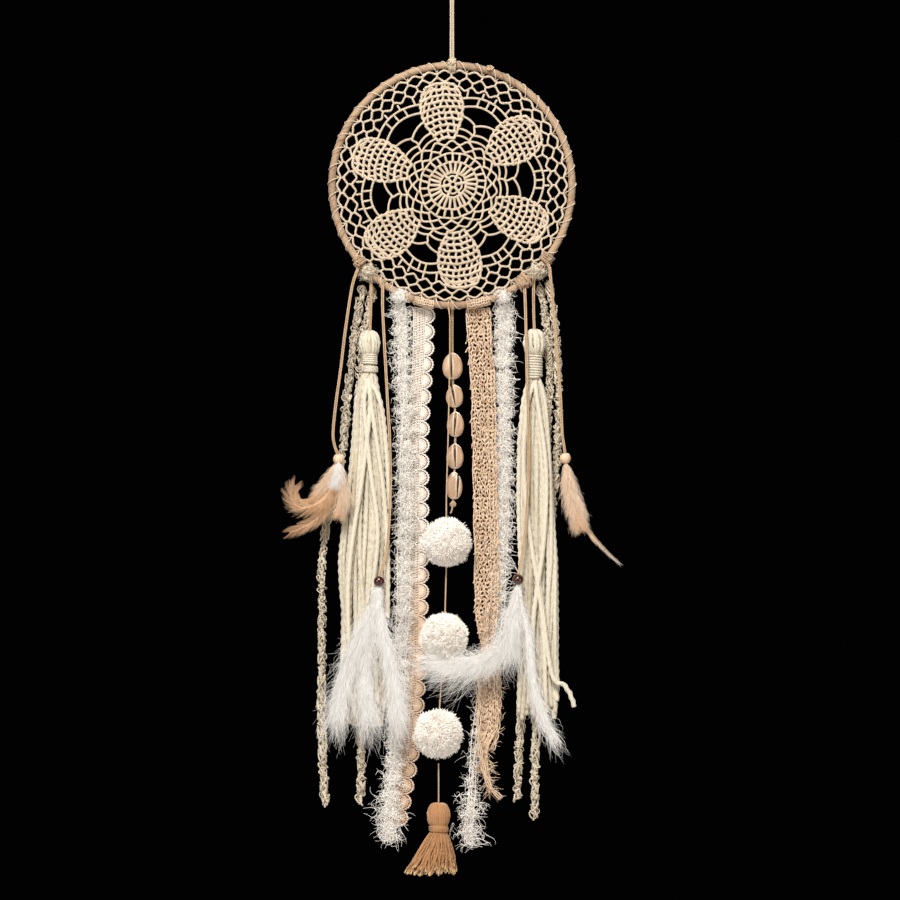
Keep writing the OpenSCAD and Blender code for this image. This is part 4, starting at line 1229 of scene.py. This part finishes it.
ties = {  # place along the hoop, width, turns, thread
    "feather_left": (-77, 2.6, 2, 0.62), "tassel_left": (-65.6, 2.6, 2, 0.62),
    "marabou_left": (-56, 2.8, 2, 0.62), "cowries": (0.4, 3.2, 3, 0.45),
    "pompoms": (-2.8, 1.5, 1, 0.6), "tassel_right": (66.1, 2.6, 2, 0.62),
}
drops = {  # from the hoop to the strand's own beginning
    "feather_left": [[-75.2, -4.2, -64], [-77, -5, -71]],
    "feather_right": [[77.2, -4.2, -62], [79, -5, -68]],
    "tassel_left": [[-65.6, -3.6, -73], [-65.6, -2.5, -76.5], [-65.6, 0, -80]],
    "marabou_left": [[-56, -4, -80.5], [-56, -5, -87]],
    "tassel_right": [[66.1, -3.6, -72.5], [66.1, -2.5, -76.5], [66.1, 0, -80]],
    "marabou_right": [[58.5, -4.5, -81], [59, -5, -88]],
    "cowrie": [[0.4, -3.6, -98.5], [0.4, -2.4, -101], [0.4, 2.6, -103.5], [0.4, 4.5, -106]],
    "pompom": [[-2.6, -3.9, -99], [-2.2, -5, -103], [-1.6, -6, -108]],
}


def addTies():
    chance = fineRng("ties")
    parts = []
    for x, width, turns, thick in ties.values():
        angle = -np.arccos(x * mm / ringR)
        for k in range(turns):
            a = np.linspace(0, 2 * pi, 30, endpoint=False)
            lean = 0.35 * thick * mm * np.sin(a) / ringR
            at = angle + (k - (turns - 1) / 2) * width / turns * mm / ringR + lean
            parts += [tubes(p, thick * 0.56 * mm, 5, axis=(-np.sin(angle), 0, np.cos(angle)),
                            closed=True, tone=[chance.uniform(0.4, 0.7)])
                      for p in plied(onHoop(at, a, tubeR + (thick + 0.1) * mm), 2,
                                     thick * 0.5 * mm, 2.3 * mm, (-np.sin(angle), 0.01,
                                                                  np.cos(angle)), closed=True)]
    for name, route in drops.items():
        line = evenRoute(route, 26)
        half = cords[name]["width"] * mm / 2
        if cords[name]["strands"] == 2:
            for side in (-0.5, 0.5):
                parts.append(twistedCord(line + (side * half, 0, 0), half / 2, 2.3 * mm))
        else:
            parts.append(twistedCord(line, half, 2.4 * mm))
    parts += tangle((30.9 * mm, -2.2 * mm, hoopZ + 94.6 * mm), 2.6 * mm, 7, 0.6 * mm, chance)
    addPiece("strand_ties", parts, strandCotton, "hoop")


addTies()


def addFold(name, x, half, cotton, reach):
    # cloth folded over the hoop: rows of stitches that run round the tube, wider than the tube
    chance = fineRng(name)
    angle = -np.arccos(x * mm / ringR)
    a = np.linspace(-2.75, 2.0, 26)
    parts = []
    for k in np.linspace(-1, 1, 10):
        bump = reach * mm * (1 + 0.1 * np.sin(5 * a + 9 * k))
        parts.append(tubes(onHoop(angle + k * half * mm / ringR + 0.004 * np.sin(4 * a + 3 * k),
                                  -a - 0.2, tubeR + bump), 0.55 * mm, 6, lobes=2, pitch=2.2 * mm,
                           depth=0.25, tone=[chance.uniform(0.35, 0.7)]))
    for b in np.linspace(a[0], a[-1], 9):
        t = np.linspace(-1, 1, 16)
        parts.append(tubes(onHoop(angle + t * half * mm / ringR, -b - 0.2 + 0.1 * np.sin(9 * t + b),
                                  tubeR + reach * mm + 0.3 * mm * np.sin(11 * t + b)),
                           0.5 * mm, 6, lobes=2, pitch=2.2 * mm, tone=[chance.uniform(0.4, 0.7)]))
    addPiece(name + "_fold", parts, cotton, "hoop")


addFold("lace", -22.5, 7.6, tanCrochet, 0.9)
addFold("ribbon", 21.0, 8.8, tanCrochet, 1.2)
print("ties made")

shells = {"cowrie_1": {"slit": -0.16, "turn": -0.1}, "cowrie_2": {"slit": -0.12, "turn": -0.25},
          "cowrie_3": {"slit": -0.05, "turn": 0.1}, "cowrie_4": {"slit": 0.0, "turn": -0.05},
          "cowrie_5": {"slit": 0.45, "turn": 0.1}}


def shellMaterial():
    material, tree, shader = startMaterial("cowrieShell")
    kept = addNode(tree, "ShaderNodeAttribute", {"attribute_name": "strand"})
    marks = addNode(tree, "ShaderNodeSeparateXYZ", Vector=kept.outputs["Vector"])
    mottle = addNode(tree, "ShaderNodeGroup", {"node_tree": fibreMottle}, Scale=110.0, Fine=4.0)
    body = addNode(tree, "ShaderNodeMix", {"data_type": "RGBA"}, i0=mottle.outputs["Broad"],
                   i6=seen((0.8, 0.67, 0.55)), i7=seen((0.62, 0.48, 0.37)))
    pale = addNode(tree, "ShaderNodeMix", {"data_type": "RGBA"}, i0=marks.outputs["Y"],
                   i6=body.outputs[2], i7=seen((0.95, 0.89, 0.81)))
    # painted shade: the slit's groove is mixed to near black, the shade inside the shell's opening
    slit = addNode(tree, "ShaderNodeMix", {"data_type": "RGBA"}, i0=marks.outputs["X"],
                   i6=pale.outputs[2], i7=(0.07, 0.035, 0.02, 1))
    finishShader(tree, shader, mottle, slit.outputs[2], (0.18, 0.4), 0.12, 0.0003)
    shader.inputs["Coat Weight"].default_value = 0.35
    return material


cowrieShell = shellMaterial()


def addShell(name, look):
    # an egg, wider above, whose front face folds inwards along a toothed slit
    low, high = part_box(name)
    low, high = np.array(low), np.array(high)
    middle, size = (low + high) / 2, (high - low) / 2
    n = 110
    u = np.linspace(0.001, pi - 0.001, n)[:, None]
    v = np.linspace(0, 2 * pi, n, endpoint=False)[None]
    wide = np.sin(u) ** (0.86 + 0.3 * np.clip(np.cos(u), 0, 1)) * (1 - 0.1 * np.cos(u))
    x, y, z = wide * np.cos(v), wide * np.sin(v), np.cos(u) + 0 * v
    front = np.clip(-y, 0, 1)
    teeth = 0.5 + 0.5 * np.cos(34 * z)
    slit = look["slit"] + look["turn"] * z
    gap = 0.05 + 0.06 * np.clip(1 - (z - 0.3) ** 2 * 1.2, 0, 1) + 0.02 * teeth
    away = np.abs(x - slit) / gap
    window = np.clip((0.94 - np.abs(z)) * 9, 0, 1) * np.clip(front * 5, 0, 1)
    groove = window * np.exp(-away**4)
    lips = window * np.exp(-((away - 1.7) / 0.8) ** 2)
    flatter = 1 - 0.22 * front
    y2 = y * flatter * 0.97 + 0.62 * groove - 0.05 * lips * (0.6 + 0.8 * teeth)
    co = middle + size * np.stack([x, y2, z], axis=-1)
    ends = np.clip((np.abs(z) - 0.82) * 6, 0, 1)
    # painted shade: the first channel is the groove, which the shell's material paints near black
    strand = np.stack([groove, np.clip(0.75 * lips * (0.5 + 0.5 * teeth) + 0.8 * ends, 0, 1), z],
                      axis=-1)
    addPiece(name + "_shell", [surface(co[:, ::-1], strand[:, ::-1])], cowrieShell, "cowries",
             [name])


for shellName, shellLook in shells.items():
    addShell(shellName, shellLook)
endLow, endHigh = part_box("cowrie_knot")
addPiece("cowrie_end_knot", tangle((endLow + endHigh) / 2, 2.1 * mm, 8, 0.6 * mm,
                                   fineRng("cowrie knot")) + [
    tubes(alongLine(inFrame([[0.8, 4.5, -259], [0, 4, -263], [-1.2, 4, -266]]),
                    np.linspace(0, 1, 8)), 0.6 * mm, 6, tone=[0.5])],
         strandCotton, "cowries", ["cowrie_knot"])
print("shells made")


pompomLook = {"fibres": 8600, "quickFibres": 3500, "tufts": 150, "core": 0.8}


def addPompom(name, look):
    # fibres from the middle outwards, leaning together into tufts
    chance = fineRng(name)
    low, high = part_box(name)
    middle = np.array((low + high) / 2)
    radius = (high.x - low.x) / 2
    count = look["fibres"]
    k = np.arange(count) + 0.5
    fromTop = np.arccos(1 - 2 * k / count)
    around = goldenAngle * k
    aim = np.stack([np.sin(fromTop) * np.cos(around), np.sin(fromTop) * np.sin(around),
                    np.cos(fromTop)], axis=-1)
    tufts = unit(chance.normal(size=(look["tufts"], 3)))
    nearest = np.argmax(aim @ tufts.T, axis=1)
    aim = unit(aim + 0.14 * (tufts[nearest] - aim) + chance.normal(0, 0.06, (count, 3)))
    tuftReach = chance.uniform(0.95, 1.03, look["tufts"])[nearest]
    reach = radius * tuftReach * chance.uniform(0.93, 1.03, count)
    w = np.array([0.66, 0.8, 0.9, 0.97])[None, :, None]
    sideways = unit(chance.normal(size=(look["tufts"], 3)))[nearest]  # tufts lie over
    combed = np.cross(aim, sideways)
    combed = (0.22 * combed + chance.normal(0, 0.05, (count, 3)))[:, None]
    bend = combed * radius * (w - 0.66) ** 2 * 7
    paths = middle + reach[:, None, None] * aim[:, None] * w + bend
    a = np.linspace(0.001, pi - 0.001, 24)[:, None]
    b = np.linspace(0, 2 * pi, 36, endpoint=False)[None]
    core = middle + radius * look["core"] * np.stack([np.sin(a) * np.cos(b), np.sin(a) * np.sin(b),
                                             np.cos(a) + 0 * b], axis=-1)
    shade = chance.uniform(0.3, 0.7, look["tufts"])[nearest] + chance.uniform(-0.14, 0.14, count)
    parts = [tubes(paths, np.array([[0.34, 0.34, 0.32, 0.2]]) * mm, 3, tone=shade),
             surface(core[:, ::-1], np.full((24, 36, 3), 0.25))]
    addPiece(name + "_wool", parts, pompomWool, "pompoms", [name])


for pompomName in ("pompom_1", "pompom_2", "pompom_3"):
    addPompom(pompomName, pompomLook)
print("pompoms made")


def woodMaterial(name, light, dark, rough, coat, speck):
    material, tree, shader = startMaterial(name)
    place = addNode(tree, "ShaderNodeTexCoord")
    turn = addNode(tree, "ShaderNodeMapping", Vector=place.outputs["Object"])
    turn.inputs["Scale"].default_value = (1, 1, 0.25)
    grain = addNode(tree, "ShaderNodeTexWave", Vector=turn.outputs["Vector"], Scale=240.0,
                    Distortion=7.0, Detail=3.0)
    mottle = addNode(tree, "ShaderNodeGroup", {"node_tree": fibreMottle}, Scale=speck, Fine=4.0)
    mixed = addNode(tree, "ShaderNodeMath", {"operation": "MULTIPLY"}, i0=grain.outputs["Fac"],
                    i1=mottle.outputs["Broad"])
    colour = addNode(tree, "ShaderNodeMix", {"data_type": "RGBA"}, i0=mixed.outputs[0],
                     i6=seen(light), i7=seen(dark))
    finishShader(tree, shader, mottle, colour.outputs[2], (rough, rough + 0.2), 0.15, 0.0002)
    shader.inputs["Coat Weight"].default_value = coat
    return material


paleWood = woodMaterial("paleWood", (0.93, 0.8, 0.68), (0.76, 0.58, 0.44), 0.4, 0.1, 500.0)
darkWood = woodMaterial("darkWood", (0.28, 0.12, 0.09), (0.1, 0.05, 0.04), 0.12, 0.8, 900.0)


def addBead(name, body, material):
    # profile turned round the hole: the outer arc, a rounded rim and the bore's wall
    low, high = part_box(name)
    middle = (low + high) / 2
    r, h, bore = (high.x - low.x) / 2, (high.z - low.z) / 2, 1.4 * mm
    top = np.arccos(np.clip(h / r, 0, 1))
    a = np.linspace(top, pi - top, 26)
    outer = np.stack([r * np.sin(a), r * np.cos(a)], axis=1)
    rim = np.stack([np.linspace(outer[-1, 0] * 0.94, bore * 1.15, 5), np.full(5, -h)], axis=1)
    wall = np.stack([np.full(6, bore), np.linspace(-h * 0.94, h * 0.94, 6)], axis=1)
    profile = np.vstack([outer, rim, wall, rim[::-1] * (1, -1)])
    b = np.linspace(0, 2 * pi, 56, endpoint=False)
    co = np.stack([middle.x + profile[:, :1] * np.cos(b), middle.y + profile[:, :1] * np.sin(b),
                   middle.z + profile[:, 1:] + 0 * b], axis=-1)
    strand = np.full(co.shape, 0.5)
    addPiece(name + "_ball", [surface(co[::-1], strand, wrapU=True)], material, body,
             [name])


for side in ("left", "right"):
    addBead(f"feather_{side}_bead", f"feather_{side}", paleWood)
    addBead(f"marabou_{side}_bead", f"marabou_{side}", darkWood)

marabous = {  # each plume: route, barbs, their reach in millimetres, their lean in radians
    "marabou_left": [
        ([[-58.8, -13, -323], [-61, -13, -334], [-68, -14, -352], [-78, -14, -375],
          [-86, -13, -398], [-91, -13, -420]], 1450, 19, 0.5),
        ([[-59, -13, -323], [-62, -12, -336], [-67, -10, -356], [-70, -10, -380],
          [-70, -10, -402], [-68, -10, -420]], 1350, 20, 0.5),
        ([[-58.5, -13, -323], [-59, -15, -338], [-56, -16, -358], [-51, -16, -382],
          [-47, -15, -404], [-45, -14, -422]], 1350, 18, 0.5),
    ],
    "marabou_right": [
        ([[53.3, -13, -322], [50.5, -13, -338], [47.5, -14, -356], [42, -14, -372],
          [28, -14, -383], [10, -14, -386], [-5, -13, -384]], 2200, 20, 0.62),
        ([[53.5, -13, -322], [56, -12, -338], [60, -11, -356], [63, -11, -380],
          [66, -11, -404], [73, -11, -428], [80, -11, -442]], 1300, 12.5, 0.4),
        ([[53.3, -13, -322], [52, -10, -338], [51, -9, -355], [50, -9, -372]], 500, 15, 0.5),
    ],
}


def addMarabou(name, plumes):
    chance = fineRng(name)
    parts = []
    for route, count, reach, lean in plumes:
        shaft = smoothRoute(route, 8)
        few = count

        def barbReach(s, reach=reach):
            return reach * mm * np.clip(0.32 + 2.2 * s, 0, 1)
        parts.append(barbs(shaft, few, barbReach, lean, 0.75, 0.21 * mm, chance, sag=0.16,
                           wave=0.09, points=6, bend=0.12))
        parts.append(barbs(shaft, few // 3, lambda s: 1.25 * barbReach(s), lean * 1.9, 0.9,
                           0.15 * mm, chance, sag=0.25, wave=0.2, points=6, bend=0.1))
        tip = alongLine(shaft, np.linspace(0.62, 1, 14))
        parts.append(barbs(tip, few // 6, lambda s: (1.6 - 0.4 * s) * reach * mm, lean * 0.75, 1.0,
                           0.17 * mm, chance, sag=0.2, wave=0.22, points=7, bend=0.5))
        parts.append(quill(shaft, 0.45 * mm))
    for part in parts:  # pressed a little flat, front to back
        part[0][:, 1] -= 0.22 * (part[0][:, 1] + 0.0125)
    addPiece(name + "_down", parts, marabouDown, name, [name + "_plumes"])


for marabouName, marabouPlumes in marabous.items():
    addMarabou(marabouName, marabouPlumes)


leafShape = ([0, 0.15, 0.5, 0.85, 1], [0.35, 0.85, 1, 0.85, 0.5])  # barb length along it
slimShape = ([0, 0.2, 0.6, 0.9, 1], [0.8, 1, 0.75, 0.5, 0.4])
crisp = {"thick": 0.16, "spread": 0.16, "bend": 0.25, "wave": 0.03, "quill": 0.45, "start": 0.05,
         "shape": leafShape}
downy = {"thick": 0.14, "spread": 0.9, "bend": 0.05, "wave": 0.12, "quill": 0.4, "start": 0,
         "shape": leafShape}
feathers = {  # piece: material, nodes, then each vane's route, barbs, reach, lean and look
    "feather_left_vanes": (roosterVane, ["feather_left_plumes"], [
        ([[-91.5, -9, -224], [-94, -10, -236], [-101, -12, -250], [-112, -13, -259],
          [-124, -12, -260], [-130, -10, -251], [-127, -9, -243]], 800, 14, 0.75, crisp),
        ([[-91.5, -9, -224], [-93, -8, -240], [-98, -7, -256], [-108, -7, -269],
          [-121, -8, -277], [-131, -8, -281]], 650, 12, 0.6, crisp)]),
    "feather_left_fluff": (paleDown, [], [
        ([[-91.5, -9, -224], [-90, -12, -236], [-88, -13, -252], [-91, -13, -266]],
         900, 15, 0.7, downy),
        ([[-91.5, -9, -224], [-97, -12, -233], [-105, -12, -244], [-110, -11, -252]],
         600, 12, 0.7, downy)]),
    "feather_left_white_fluff": (marabouDown, [], [
        ([[-91.5, -12, -224], [-92, -15, -232], [-94, -16, -242]], 420, 12, 0.8,
         {**downy, "thick": 0.15, "spread": 1.2, "wave": 0.15, "quill": 0.3})]),
    "feather_right_slim": (slimVane, ["feather_right_plumes"], [
        ([[91.5, -9, -224], [96, -9, -245], [101, -9, -262], [108, -9, -278],
          [119, -9, -291], [129, -9, -301], [135, -9, -306]], 620, 9, 0.42,
         {**crisp, "thick": 0.15, "spread": 0.12, "bend": 0.2, "wave": 0.02, "quill": 0.5,
          "shape": slimShape})]),
    "feather_right_vanes": (paleDown, [], [
        ([[91.5, -9, -224], [94, -11, -240], [98, -12, -256], [103, -11, -274]], 1500, 18, 0.66,
         {**downy, "thick": 0.17, "spread": 0.8, "bend": 0.1, "wave": 0.1})]),
}


def vane(route, count, reach, lean, look, chance):
    shaft = smoothRoute(route, 10)
    few = count

    def barbReach(s):
        return reach * mm * np.interp(s, *look["shape"])
    return [barbs(shaft, few, barbReach, lean, look["spread"], look["thick"] * mm, chance,
                  sag=0.04, wave=look["wave"], points=8, bend=look["bend"], start=look["start"]),
            quill(shaft, look["quill"] * mm)]


featherChance = fineRng("feathers")
for featherName, (featherLook, featherNodes, vanes) in feathers.items():
    featherParts = [part for given in vanes for part in vane(*given, featherChance)]
    addPiece(featherName, featherParts, featherLook, "_".join(featherName.split("_")[:2]),
             featherNodes)
print("feathers made")

floorMesh = bpy.data.meshes.new("floor")
floorHalf, floorZ = 0.8, viewing["floor"]
floorCorners = [(x * floorHalf, y * floorHalf, floorZ)
                for x, y in ((-1, -1), (1, -1), (1, 1), (-1, 1))]
floorMesh.from_pydata(floorCorners, [], [(0, 1, 2, 3)])
floorMesh.update()
floorCard, _, floorShader = startMaterial("paleCard")
floorShader.inputs["Base Color"].default_value = (0.55, 0.54, 0.52, 1)
floorShader.inputs["Roughness"].default_value = 0.8
floorMesh.materials.append(floorCard)
floor = bpy.data.objects.new("floor", floorMesh)
bpy.context.scene.collection.objects.link(floor)
bpy.context.scene.view_settings.view_transform = "Standard"
